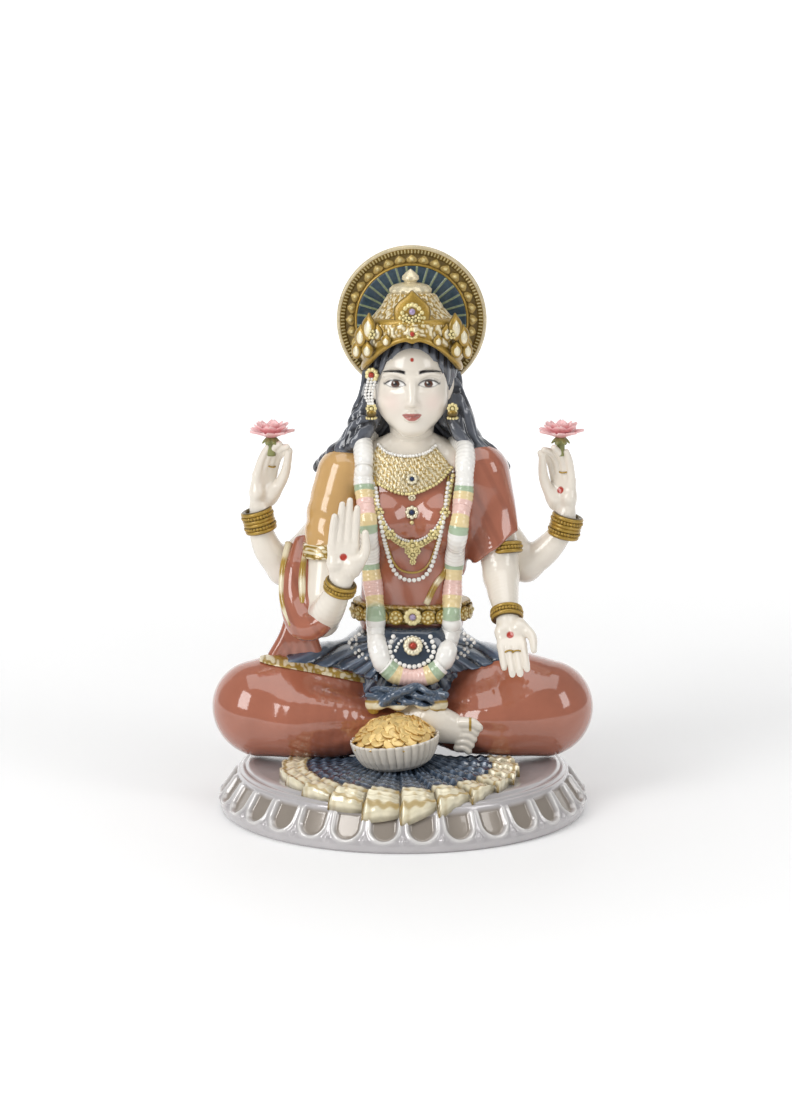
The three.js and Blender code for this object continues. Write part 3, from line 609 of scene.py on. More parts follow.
def legs():
    for name, leg, side in (("right_leg", RIGHT_LEG, 1), ("left_leg", LEFT_LEG, -1)):
        clay = Clay(leg, step=0.8)
        leg_form(clay, leg)
        ankle = leg.at(0.95 * side, -0.4, -0.15)
        clay.press(fan_folds(ankle, count=15, height=0.5, near=14, far=74))

        def tints(points, foot=ankle):
            away = np.linalg.norm(points - foot, axis=1)
            return blended(TERRACOTTA, TERRACOTTA_DEEP, 0.5 * smooth(50, 10, away))
        clay.skin(name, tints)


def skirt():
    body = Box("skirt_body")
    clay = Clay(body, step=0.9)
    clay.blob(body.centre + (0, 4, 3), body.half * (1, 0.86, 0.9), 2)
    clay.press(fan_folds(HIP, count=34, height=0.7, near=10, far=90))
    clay.skin("skirt_body", folded_slate(HIP, 34))
    outlines = {
        "skirt_panel_right": [(1, 0.9), (1, -0.8), (0.2, -0.42), (-0.5, -0.2), (-0.62, 0.3), (0.3, 1)],
        "skirt_panel_left": [(-1, 0.95), (-1, -0.9), (-0.3, -0.8), (0.3, -0.35), (0.98, 0.2),
                             (0.55, 0.65), (-0.4, 1)],
    }
    for (name, corners), leg in zip(outlines.items(), (RIGHT_LEG, LEFT_LEG)):
        box = Box(name)
        clay = Clay(box, step=0.6)
        leg_form(clay, leg)
        clay.blob(body.centre, body.half, 6)
        clay.grow(CLOTH)
        clay.press(fan_folds(HIP, count=46, height=0.55, near=12, far=120))
        clay.keep(box.outline(corners), 2)
        clay.skin(name, folded_slate(HIP, 46))
    hem = Box("skirt_hem_right")
    clay = Clay(hem, step=0.45)
    leg_form(clay, RIGHT_LEG)
    clay.grow(CLOTH)
    line = smooth_path(hem.outline([(-0.9, 1.75), (0, 1.1), (0.6, 0.45), (1.2, -0.3)]), 16)
    wave = 0.7 * np.abs(np.sin(np.arange(len(line)) * 0.8))
    upper, lower = line + np.column_stack([0 * wave, 1.8 + wave]), line - (0, 2)
    clay.keep(np.vstack([upper, lower[::-1]]), 0.8)
    clay.skin("skirt_hem_right", lambda points: gilt(0.25 + 0.7 * filigree(points[:, 0], points[:, 2], 8)))


def folded_slate(centre, count):
    """Slate blue with painted shade in the hollows of the folds and a painted highlight on their crests."""
    def tints(points):
        turn = np.arctan2(points[:, 2] - centre[2], points[:, 0] - centre[0])
        wave = np.sin(count * turn + 0.6 * np.sin(3 * turn)) + 0.35 * np.sin(2.3 * count * turn + 1)
        # Painted shade in the fold hollows, then a painted highlight on the crests.
        shaded = blended(SLATE, SLATE_DEEP, smooth(0.2, -1.2, wave))
        return blended(shaded, SLATE_HIGHLIGHT, 0.7 * smooth(0.6, 1.3, wave))
    return tints


# ------------------------------------------------------------------ body
TORSO = Box("torso")
ARMS = {name: Box(name) for name in ("front_right_arm", "front_left_arm", "rear_right_arm", "rear_left_arm")}
ARM_PATHS = {
    "front_right_arm": [(0.28, 0.66, 0.75), (-0.07, 0.52, 0.32), (-0.24, 0.29, -0.12), (-0.46, -0.1, -0.78)],
    "front_left_arm": [(-0.55, 0.71, 0.77), (-0.25, 0.66, 0.38), (-0.02, 0.51, 0.07), (0.08, 0.31, -0.21)],
    "rear_right_arm": [(0.65, 0.2, 0.14), (0.07, 0.0, -0.39), (-0.44, -0.3, -0.74)],
    "rear_left_arm": [(-0.67, 0.22, 0.12), (-0.19, -0.04, -0.36), (0.17, -0.3, -0.72)],
}


def torso_form(clay):
    middle = TORSO.at(0, 0.13, -0.9)[:2]

    def at(x, y, z):
        return np.array((middle[0] + x, middle[1] + y, z))
    clay.blob(at(0, 0, 104), (30, 20, 28), 8)
    clay.blob(at(0, 0, 130), (28.5, 18.5, 34), 8)
    clay.blob(at(0, 2, 166), (35, 19.5, 32), 10)
    clay.limb([at(-33, 6, 183), at(0, 7, 187), at(33, 6, 183)], (13, 12, 13), 10)
    clay.limb([at(-26, 7, 190), at(0, 7, 200), at(26, 7, 190)], (7, 10, 7), 10)
    for side in (-1, 1):
        clay.blob(at(side * 15.5, -13, 160), (14.5, 12.5, 14), 6)


def upper_arm(clay, name, extra=0.0, blend=4.0):
    radii = {4: (13, 12.5, 11.5, 9.8), 3: (12.5, 11, 9.2)}[len(ARM_PATHS[name])]
    clay.limb([ARMS[name].at(*share) for share in ARM_PATHS[name]], np.array(radii) + extra, blend)


def torso():
    clay = Clay(TORSO, step=0.8)
    torso_form(clay)
    clay.press(lambda x, y, z: 0.2 * np.sin(x * 0.5 + 0.12 * z) * smooth(150, 125, z) * np.ones_like(y))

    def tints(points):
        return blended(TERRACOTTA, SKIN, smooth(187, 188.5, points[:, 2]))
    clay.skin("torso", tints)


# across the palm, knuckle's share of the palm, finger's share of the longest
FINGERS = ((0.37, 0.94, 0.9), (0.125, 1.0, 1.0), (-0.125, 0.97, 0.93), (-0.36, 0.88, 0.74))


def unit(vector):
    return np.array(vector, float) / np.linalg.norm(vector)


def bent(along, palm, angle):
    """Two directions of a hand after it bends toward the palm."""
    return along * math.cos(angle) + palm * math.sin(angle), palm * math.cos(angle) - along * math.sin(angle)


def hand(clay, wrist, along, palm, size, thumb_side, curls, spread=0.25, thumb=(0.78, 0.62, 0.1), broad=0.38):
    """A hand from the wrist. curls bend each finger's joints; thumb is where its tip lies."""
    along = unit(along)
    palm = unit(palm - along * along.dot(palm))
    across = np.cross(along, palm) * thumb_side
    length, width = 0.46 * size, broad * size
    tips = []
    for (place, knuckle, share), curl in zip(FINGERS, curls):
        root = wrist + along * 0.02 * size + across * width * place * 0.5
        joint = wrist + along * length * knuckle + across * width * place
        middle = (root + joint) / 2 - palm * 0.01 * size
        clay.limb([root, middle, joint], np.array((0.075, 0.07, 0.058)) * size, 2.4, 4)
        direction, inward = unit(along + across * place * spread), palm
        points = [joint]
        for segment, bend in zip((0.45, 0.31, 0.24), (0.8, 1.1, 0.8)):
            direction, inward = bent(direction, inward, curl * bend)
            points.append(points[-1] + direction * segment * share * (size - length))
        clay.limb(points, np.array((0.056, 0.05, 0.046, 0.036)) * size, 0.7, 4)
        tips.append(points)
    base = wrist + along * 0.12 * size + across * width * 0.35 + palm * 0.03 * size
    tip = wrist + across * width * thumb[0] + along * size * thumb[1] + palm * size * thumb[2]
    bend = (base + tip) / 2 + across * 0.07 * size
    clay.limb([base, bend, tip], np.array((0.085, 0.062, 0.042)) * size, 1.6, 5)
    clay.blob(wrist + along * 0.2 * size + across * width * 0.3 + palm * 0.045 * size, 0.1 * size, 3)
    clay.blob(wrist + along * 0.2 * size - across * width * 0.28 + palm * 0.03 * size, 0.085 * size, 3)
    return tips, wrist + along * 0.3 * size + palm * 0.07 * size


def ring_kit(tips, fingers, radius):
    """Thin gold rings round the first segments of some fingers."""
    kit = Kit()
    turns = np.linspace(0, 2 * math.pi, 19)[:, None]
    for finger in fingers:
        first, second = tips[finger][0], tips[finger][1]
        across, up, _ = axes_for(second - first)
        centre = first + (second - first) * 0.42
        kit.tube(centre + radius * (np.cos(turns) * across + np.sin(turns) * up), 0.5, GOLD, 6)
    return kit


def arm(name, forearm, radii, pose, dot=True, rings=()):
    """A whole arm. pose is what hand() needs, dot the red one in the palm, rings the fingers with one."""
    clay = Clay(ARMS[name], step=0.5, margin=5)
    upper_arm(clay, name)
    elbow = ARMS[name].at(*ARM_PATHS[name][-1])
    clay.limb([elbow, *forearm], radii, 3)
    tips, palm_centre = hand(clay, **pose)
    kit = ring_kit(tips, rings, 0.056 * pose["size"] + 0.35)

    def tints(points):
        near = np.linalg.norm(points - palm_centre, axis=1)
        red = smooth(2.3, 1.8, near) if dot else np.zeros(len(points))
        return blended(np.broadcast_to(SKIN, points.shape), RED, red)
    clay.skin(name, tints, kit=kit)


def raised_arm(name, side, bend, palm, spread, ring, dot):
    """A rear arm, its hand round the stem of a lotus. side is 1 for the right arm and -1 for the left."""
    wrist = Box(name.replace("arm", "bangle")).centre
    stem = Box("lotus_calyx_right" if side == 1 else "lotus_calyx_left").at(0, 0, -1)
    above = wrist + ((1, 0, 6) if side == 1 else (0, 0, 6))
    pose = dict(wrist=wrist + (side * 0.4, 1, 7), along=stem - wrist + (-side, 5, 2), palm=np.array(palm),
                size=46, thumb_side=side, curls=(0.42, 0.45, 0.34, 0.16), spread=spread,
                thumb=(0.3, 0.78, 0.3), broad=0.32)
    arm(name, [ARMS[name].at(*bend), wrist, above], (9.2, 8, 5.8, 5.4), pose, dot, (ring,))


def arms():
    right, left = ARMS["front_right_arm"], ARMS["front_left_arm"]
    straight = (0.1, 0.06, 0.06, 0.1)
    wrist = Box("front_right_bangle").centre
    pose = dict(wrist=wrist + (0.8, -0.3, 4), along=right.at(0.36, -0.88, 0.82) - wrist,
                palm=np.array((0.15, -1, 0.1)), size=46, thumb_side=1, curls=straight, spread=-0.03,
                thumb=(0.66, 0.6, 0.06))
    arm("front_right_arm", [right.at(-0.19, -0.52, -0.6), wrist, wrist + (1, -0.4, 5)],
        (9.8, 8.8, 6.2, 5.8), pose)
    wrist = Box("front_left_bangle").centre
    pose = dict(wrist=wrist + (0.5, -3, -2.5), along=left.at(0.4, -0.95, -0.9) - wrist,
                palm=np.array((-0.1, -0.75, 0.6)), size=43, thumb_side=-1, curls=straight, spread=0.04,
                thumb=(0.72, 0.62, 0.1))
    arm("front_left_arm", [left.at(0.13, 0.03, -0.35), wrist, wrist + (1, -5, -5)],
        (9.8, 8.6, 6.2, 5.8), pose, rings=(1, 2))
    raised_arm("rear_right_arm", 1, (-0.72, -0.46, -0.43), (0.75, -1, 0.1), spread=-0.2, ring=1, dot=False)
    raised_arm("rear_left_arm", -1, (0.52, -0.43, -0.48), (-0.7, -1, 0.1), spread=0.1, ring=2, dot=True)


# ------------------------------------------------------------------ head
HEAD = Box("head")
FACE = HEAD.at(0, 0.12, 0.28)
HEAD_SCALE = 1.13
EYE = (8.2, 0.0)


def head():
    clay = Clay(HEAD, step=0.45)

    def size(radii):
        return HEAD_SCALE * np.array(radii)

    def at(x, y, z):
        return FACE + HEAD_SCALE * np.array((x, y, z))
    clay.blob(at(0, 3, 6), size((20, 21, 21)), 4)
    clay.blob(at(0, -2.5, -4), size((17.3, 19.5, 23.5)), 6)
    clay.blob(at(0, -7, -13), size((13.5, 12.5, 13)), 5)
    clay.blob(at(0, -14, -22), size((6.5, 5.5, 5.2)), 6)
    clay.limb([at(0, 7, -55), at(0, 4, -42), at(0, 3, -22)], size((15, 11, 11)), 5)
    for side in (-1, 1):
        clay.blob(at(side * 9, -10, -9), size((8, 8, 9)), 6)
        clay.blob(at(side * EYE[0], -23, EYE[1] + 0.4), size((6.2, 4.2, 3.9)), 2.5, remove=True)
        clay.blob(at(side * EYE[0], -14.6, EYE[1] - 0.3), size((5.6, 4.9, 4.2)), 0.9)
        clay.limb([at(side * 3.2, -20.6, 4.2), at(side * 8.5, -19.8, 5.8), at(side * 13.5, -15.8, 4.2)],
                  size((0.9, 1.3, 0.8)), 2.6, 4)
        clay.blob(at(side * 2.4, -20.5, -9.8), size((1.7, 2.1, 1.5)), 1.8)
        clay.limb([at(side * 18, 0, 1), at(side * 18.4, 1, -5), at(side * 17.5, 0, -9)],
                  size((3.2, 2.6, 2)), 2)
    clay.limb([at(0, -20, 4), at(0, -21.6, -3), at(0, -23.2, -8.6)], size((1.4, 1.6, 2.3)), 3)
    for side in (-1, 1):
        upper_lip = [at(0, -21.6, -14.6), at(side * 1.4, -21.4, -14.2), at(side * 5.3, -18.6, -14.9)]
        lower_lip = [at(0, -21.2, -17.3), at(side * 2.2, -20.8, -17.1), at(side * 4.8, -18.5, -15.3)]
        clay.limb(upper_lip, size((1.1, 1.2, 0.5)), 1, 4)
        clay.limb(lower_lip, size((1.4, 1.3, 0.5)), 1, 4)
    clay.skin("head", face_tints)


def face_tints(points):
    """A painted face: almond eyes, each with a painted highlight, arched brows, red lips and a small round
    forehead mark.
    """
    local = (points - FACE) / HEAD_SCALE
    front = smooth(-8, -12, local[:, 1])
    across, up = np.abs(local[:, 0]) - EYE[0], local[:, 2] - EYE[1]
    lens = np.clip(1 - (across / 5) ** 2, 0, 1)
    upper, lower = 2.2 * lens ** 0.75 - 0.3, -1.5 * lens ** 0.9 - 0.1
    soft = 0.3
    open_eye = smooth(0, soft, upper - up) * smooth(0, soft, up - lower) * (lens > 0)
    tints = np.broadcast_to(SKIN, points.shape)
    blush = np.exp(-(((across - 2) / 5) ** 2 + ((up + 9) / 5) ** 2))
    tints = blended(tints, ROSE, 0.35 * front * blush)
    tints = blended(tints, WHITE, front * open_eye)
    ball = np.hypot(across, up - 0.1)
    tints = blended(tints, IRIS, front * open_eye * smooth(2.25, 2.0, ball))
    tints = blended(tints, BROW, front * open_eye * smooth(1.05, 0.8, ball))
    # Painted highlight: a small white dot in each eye, as a catchlight.
    catchlight = np.hypot(local[:, 0] - np.sign(local[:, 0]) * EYE[0] + 0.7, up - 0.8)
    tints = blended(tints, WHITE, front * smooth(0.5, 0.3, catchlight))
    reach = smooth(6, 5, np.abs(across - 0.3))
    lash = np.exp(-((up - upper - 0.15) / 0.55) ** 2) * reach
    under = 0.7 * np.exp(-((up - lower) / 0.25) ** 2) * (lens > 0)
    crease = 0.3 * np.exp(-((up - upper - 1.4) / 0.25) ** 2) * (lens > 0)
    arch = 5.6 + 1.1 * (1 - ((across - 0.8) / 5.6) ** 2) - 0.06 * across
    brow_width = 1.0 - 0.075 * (across + 4)
    brow_ends = smooth(-5.2, -4.4, across) * smooth(7, 6, across)
    brow = smooth(1, 0.5, np.abs(up - arch) / brow_width) * brow_ends
    for mark in (lash, under, crease, brow):
        tints = blended(tints, BROW, front * np.clip(mark, 0, 1))
    wide = np.abs(local[:, 0])
    drop = local[:, 2] + 15.9 - 0.036 * wide ** 2
    lips = 2.1 * np.clip(1 - (wide / 5.0) ** 2, 0, 1) ** 0.8
    mouth = smooth(0, 0.3, lips - np.abs(drop + 0.15))
    cupid = smooth(0, 0.3, 1.9 + 0.35 * np.exp(-((wide - 1.5) / 1.1) ** 2) - drop)
    tints = blended(tints, LIP, front * 0.9 * mouth * cupid)
    parting = np.exp(-((drop - 0.1) / 0.22) ** 2) * smooth(4.8, 4.0, wide)
    tints = blended(tints, BROW, front * 0.5 * parting)
    return blended(tints, RED, front * smooth(1.1, 0.8, np.hypot(local[:, 0], local[:, 2] - 12)))


def strands(count, depth, centre):
    """Waving hair grooves round an upright axis."""
    def groove(x, y, z):
        turn = np.arctan2(x - centre[0], centre[1] - y) + 0.06 * np.sin(z * 0.16)
        return depth * (np.sin(count * turn) + 0.4 * np.sin(2.7 * count * turn + 1))
    return groove


def hair_tints(pattern, depth):
    def tints(points):
        wave = pattern(points[:, 0], points[:, 1], points[:, 2]) / depth
        # Painted shade: the hair is darker down in its grooves and lighter on the strands.
        return blended(HAIR_SHADE, HAIR, smooth(-1.2, 0.5, wave))
    return tints


def hair():
    clay = Clay(Box("hair_back"), step=0.6)

    def at(x, y, z):
        return FACE + (x, y, z)
    clay.blob(at(0, 4, 7), (25.5, 26.2, 25), 3)
    clay.blob(at(0, 17, -12), (20, 14, 25), 6)
    for side in (-1, 1):
        mass = [(16, 14, -13), (23, 12, -27), (31, 17, -40), (37, 24, -51)]
        clay.limb([at(side * x, y, z) for x, y, z in mass], (10, 10, 9, 6.5), 5)
        for number in range(3):
            rows = np.linspace(0, 1, 9)
            sway = 1.8 * np.sin(9 * rows + 1.7 * number)
            strand = [at(side * (19 - 2 * number + 24 * row + wave), 7 + 2 * number + 16 * row ** 2,
                         0.8 * wave - 9 - 43 * row) for row, wave in zip(rows, sway)]
            clay.limb(strand, np.interp(rows, (0, 0.6, 1), (4, 5.4, 3.4)), 1)
    clay.limb([at(0, 20, -20), at(0, 22, -45), at(0, 20, -74)], (18, 20, 13), 8, flat=((0, 1, 0), 0.6))
    clay.blob(at(0, -25, -8), (21.5, 32, 26.5), 1.5, remove=True)
    clay.blob(at(0, -8, -26), (21, 16, 16), 2, remove=True)
    pattern = strands(30, 0.45, at(0, 8, 0))
    clay.press(pattern)
    clay.skin("hair_back", hair_tints(pattern, 0.45))
    for name, side in (("hair_lock_right", 1), ("hair_lock_left", -1)):
        box = Box(name)
        clay = Clay(box, step=0.5)
        path = [(0.7, 0.1, 1.1), (0.6, -0.1, 0.4), (0.3, -0.5, -0.16), (-0.31, -0.2, -0.46),
                (-0.7, 0.5, -0.83)]
        path = smooth_path([box.at(side * x, y, z) for x, y, z in path], 3)
        rows = np.linspace(0, 1, len(path))
        for shift, lean in ((-1.5, 0), (-0.4, 1.4), (0.6, 1.2), (1.6, 0)):
            sway = 1.7 * np.sin(10 * rows + 1.3 * shift)
            strand = path + np.column_stack([side * (2.6 * shift - 0.8 * sway), 3 - lean + 0 * sway,
                                             0.9 * shift + 0.7 * sway])
            clay.limb(strand, np.interp(rows, (0, 0.3, 0.7, 1), (2, 3.6, 4.2, 3)), 0.9, 2)
        pattern = strands(44, 0.3, FACE)
        clay.press(pattern)
        clay.skin(name, hair_tints(pattern, 0.3))


# ------------------------------------------------------------------ drapery
def soft_terracotta(points):
    wave = np.sin(points[:, 0] * 0.5 + points[:, 2] * 0.25)
    return blended(TERRACOTTA, TERRACOTTA_DEEP, 0.3 * smooth(0.4, 1, wave))


def sleeve():
    """The short sleeve of the right arm, and the gold hem round its cuff."""
    box, aside, top = Box("sleeve_right"), 4, 210
    left, right, cuff = box.low[0] - aside, box.high[0] + aside, box.low[2]
    clay = Clay(box, step=0.6)
    upper_arm(clay, "front_right_arm", 2.6, 3)
    clay.keep([(left, cuff + 1), (right, cuff + 4), (right, top), (left, top)], 1)
    clay.press(lambda x, y, z: 0.4 * np.sin(0.3 * x + 0.4 * z + 0.3 * y) * smooth(185, 160, z))
    clay.skin("sleeve_right", plain(OCHRE))
    box = Box("sleeve_hem_right")
    left, right, low, high = box.low[0] - aside, box.high[0] + aside, box.low[2], box.high[2]
    clay = Clay(box, step=0.5)
    upper_arm(clay, "front_right_arm", 3.4, 3)
    clay.keep([(left, low), (right, low + 2), (right, high + 1), (left, high - 2)], 1.5)
    clay.skin("sleeve_hem_right", lambda p: gilt(filigree(p[:, 0] + p[:, 1], p[:, 2], 6)))


def shoulder_shawl():
    """The shawl over the left shoulder, with the gold edge that crosses the belly below it."""
    box = Box("shawl_shoulder")
    clay = Clay(box, step=0.6)
    torso_form(clay)
    upper_arm(clay, "front_left_arm", 1.5, 8)
    clay.grow(2.4)
    corners = [(-0.9, 1.1), (-1, 0.4), (-0.95, -0.4), (-0.94, -0.9), (-0.72, -1), (0.1, -0.6),
               (0.6, -0.42), (1, -0.3), (0.95, 0.1), (0.8, 0.6), (0.3, 1.1)]
    clay.keep(box.outline(corners), 1.5)
    clay.press(lambda x, y, z: 0.25 * np.sin(0.3 * x + 0.1 * z + 0.2 * y) * np.ones_like(z))
    trim = Front("torso").path([(27, 140), (24, 132), (18, 124), (13, 114)], 0.3)
    kit = Kit()
    kit.tube(trim, 1.9, gilt(0.6 + 0.3 * np.sin(0.5 * np.arange(len(trim)))), 10)
    clay.skin("shawl_shoulder", soft_terracotta, kit=kit)


def elbow_swag():
    """The loop of the shawl that hangs round the right elbow, with a gold line along two edges."""
    box = Box("shawl_elbow_swag")
    clay = Clay(box, step=0.6)
    path = [box.at(*share) for share in
            ((-0.25, 0.85, 1), (-0.42, 0.4, 0.45), (-0.4, 0.1, -0.15), (-0.1, -0.35, -0.58),
             (0.35, -0.62, -0.5), (0.7, -0.65, -0.15))]
    for row, shift in enumerate((-5, -1, 3, 7)):
        strand = [point + np.array((shift * 0.9, -1.8 * (row % 2), shift * 0.6)) for point in path]
        clay.limb(strand, (2.2, 3.2, 3.8, 4, 3.6, 2.6), 1.1)
    clay.limb(path, (4, 6, 7, 8, 7, 5), 2)
    kit = Kit()
    for outward, forward, length in ((6.6, 1.5, 4), (-4.5, 6.5, 3)):
        edge = smooth_path([point + (-outward, -forward, 0) for point in path[:length]], 24)
        kit.tube(edge, 2.1, gilt(0.75 + 0.3 * np.sin(0.23 * np.arange(len(edge)))), 12)
    clay.skin("shawl_elbow_swag", soft_terracotta, kit=kit)


def shawl_tail():
    """The end of the shawl, in five soft folds."""
    box = Box("shawl_tail")
    clay = Clay(box, step=0.6)
    for x in np.linspace(-0.9, 0.9, 5):
        clay.limb([box.at(0.1 + 0.35 * x, 0.3, 0.9), box.at(0.1 + 0.6 * x, -0.2, 0), box.at(x, -0.3, -1)],
                  (3.4, 4, 4.4), 1.6)
    clay.skin("shawl_tail", soft_terracotta)


# ------------------------------------------------------------------ surfaces to lay things on
class Front:
    """The front of some finished pieces, found by looking along +Y."""

    def __init__(self, *names):
        points, faces = [], []
        for name in names:
            mesh = PIECES[name].data
            base = len(points)
            points += [vertex.co / MM for vertex in mesh.vertices]
            faces += [[base + index for index in face.vertices] for face in mesh.polygons]
        self.tree = BVHTree.FromPolygons(points, faces)

    def at(self, x, z, lift=0.0):
        """A point in front of the surface at x, z. Beside the surface it keeps the nearest depth."""
        hit, normal, _, _ = self.tree.ray_cast(Vector((x, -200, z)), Vector((0, 1, 0)))
        if hit is None:
            hit = self.tree.find_nearest(Vector((x, 0, z)))[0]
        return np.array((x, hit.y - lift, z))

    def normal(self, x, z, reach=2.5):
        """The direction the surface faces round x, z."""
        across = self.at(x + reach, z)[1] - self.at(x - reach, z)[1]
        up = self.at(x, z + reach)[1] - self.at(x, z - reach)[1]
        return np.array((across, -2 * reach, up))

    def path(self, rows, lift, gap=1.0, ease=9):
        """A path laid on the surface, with its depth eased so that it hangs smoothly."""
        flat = spaced(smooth_path(rows, 12), gap)
        laid = np.array([self.at(x, z, lift) for x, z in flat])
        depth = np.pad(laid[:, 1], ease // 2, mode="edge")
        laid[:, 1] = np.minimum(laid[:, 1] + 0.3, np.convolve(depth, np.ones(ease) / ease, "valid"))
        return laid


# ------------------------------------------------------------------ belt, apron and sash
def belt():
    box = Box("belt")
    kit = Kit()
    turn = np.linspace(0, 2 * math.pi, 300, endpoint=False)[:, None]
    rows = np.array([(-2.5, -1), (-0.6, -1), (0, -0.85), (0.3, -0.6), (0, -0.35), (-0.4, 0),
                     (-0.4, 0.45), (0, 0.6), (0.4, 0.8), (0, 0.95), (-0.6, 1), (-2.5, 1)])
    rows = dense(rows * (1.5, box.half[2]), 0.6)
    crest = filigree(turn * 30, rows[:, 1], 5)
    lift = rows[:, 0] + 0.7 * crest * (rows[:, 0] > -1) - 1
    x = box.centre[0] + (box.half[0] + lift) * np.cos(turn)
    y = box.centre[1] + (box.half[1] + lift) * np.sin(turn)
    z = np.broadcast_to(box.centre[2] + rows[:, 1], x.shape)
    kit.add(np.stack([x, y, z], -1).reshape(-1, 3), wrapped_quads(len(turn), len(rows))[:, ::-1],
            gilt(0.1 + 0.65 * crest.ravel()))
    for number in range(-6, 7):
        angle = -math.pi / 2 + number * 0.27
        cos, sin = math.cos(angle), math.sin(angle)
        out = np.array((cos / box.half[0], sin / box.half[1], 0))
        place = box.at(cos, sin, -0.2)
        kit.disc(place, out, 4.3, 2.2, GOLD, GOLD_DEEP)
        kit.rosette(place, out, 4.2, petals=8, tint=GOLD_PALE, deep=GOLD)
    kit.build("belt")
    jewel = Box("belt_jewel")
    kit = Kit()
    kit.rosette(jewel.centre + (0, -0.5, 0), (0, -1, 0), 5.2, LILAC, 10)
    kit.build("belt_jewel")


def apron():
    box = Box("apron_panel")
    clay = Clay(box, step=0.5)
    clay.blob(Box("skirt_body").centre, Box("skirt_body").half, 3)
    clay.blob(box.at(0, 0.6, -0.2), (24, 13, 17), 6)
    clay.grow(0.8)
    clay.keep(box.outline(mirrored([(-1, 1), (-1, -0.3), (-0.6, -0.8), (0, -1)])), 2)
    clay.skin("apron_panel", plain(SLATE_DEEP * 0.65 + SLATE * 0.35))
    front, hips = Front("apron_panel"), Front("skirt_body", "skirt_panel_right", "skirt_panel_left")
    kit = Kit()
    border = mirrored([(-0.52, 0.7), (-0.62, 0.15), (-0.45, -0.38), (0, -0.62)])
    for centre in front.path(box.outline(border), 0.5, 2.9, 1):
        kit.bead(centre, 1.4, WHITE)
    arch = mirrored([(-0.46, 0.1), (-0.32, 0.5), (0, 0.72)])
    for centre in front.path(box.outline(arch), 0.4, 2.2, 1):
        kit.bead(centre, 1.0, WHITE)
    for side in (-1, 1):
        for row in (0, 1):
            arc = [box.at(side * (1.28 + 0.2 * row + 0.3 * math.sin(math.pi * share)), 0, 0.7 - 1.1 * share)
                   for share in np.linspace(0, 1, 7)]
            for x, _, z in spaced(np.array(arc), 2.5):
                kit.bead(hips.at(x, z, 0.4), 1.1, WHITE)
    kit.build("apron_pearls", "apron_panel")
    medal = Box("apron_medallion")
    kit = Kit()
    centre = front.at(medal.centre[0], medal.centre[2], 0.6)
    out = front.normal(medal.centre[0], medal.centre[2])
    kit.disc(centre, out, 5.2, 2.4, GOLD, GOLD_DEEP)
    kit.rosette(centre + unit(out) * 0.6, out, 5.6, RED, 12, CREAM)
    kit.build("apron_medallion")


def sash():
    """The crumpled bow below the apron: ruffles laid over one another, with pale corners at both ends."""
    box = Box("sash_knot")
    clay = Clay(box, step=0.5)
    clay.blob(box.at(0, 0.5, 0), box.half * (0.85, 0.6, 0.8), 2)
    across = np.linspace(-0.95, 0.95, 15)
    for row in range(4):
        height = 0.72 - 0.44 * row + 0.2 * np.sin(6.5 * across + 2.1 * row) - 0.25 * across ** 2
        front = 0.1 - 0.55 * np.cos(5 * across + 1.4 * row) ** 2 - 0.25 * (1 - across ** 2)
        ruffle = [box.at(x * (1 - 0.12 * abs(row - 1)), y, z) for x, y, z in zip(across, front, height)]
        clay.limb(ruffle, 2.1 + 0.5 * np.cos(4 * across + row), 0.8, 3)
    for side in (-1, 1):
        tail = [(0.6, -0.2, 0.2), (0.85, -0.3, -0.4), (0.8, -0.1, -0.95)]
        clay.limb([box.at(side * x, y, z) for x, y, z in tail], (2.4, 3.4, 3.8), 1, flat=((0, 1, 0), 0.6))

    def tints(points):
        share = np.abs(points[:, 0] - box.centre[0]) / box.half[0]
        low = (box.centre[2] - points[:, 2]) / box.half[2]
        corner = smooth(0.55, 0.62, share - 0.1 * np.sin(4 * low)) * smooth(0.1, 0.3, low)
        corner = np.maximum(corner, smooth(0.6, 0.7, low + 0.08 * np.sin(9 * share)))
        # Painted shade: the slate darkens towards the back, where the ruffles lie behind one another.
        shaded = blended(SLATE_DEEP, SLATE, smooth(-8, -15, points[:, 1]))
        return blended(shaded, gilt(0.5 + 0.6 * smooth(0.3, 0.6, low) * smooth(1.1, 0.8, low)), corner)
    clay.skin("sash_knot", tints)


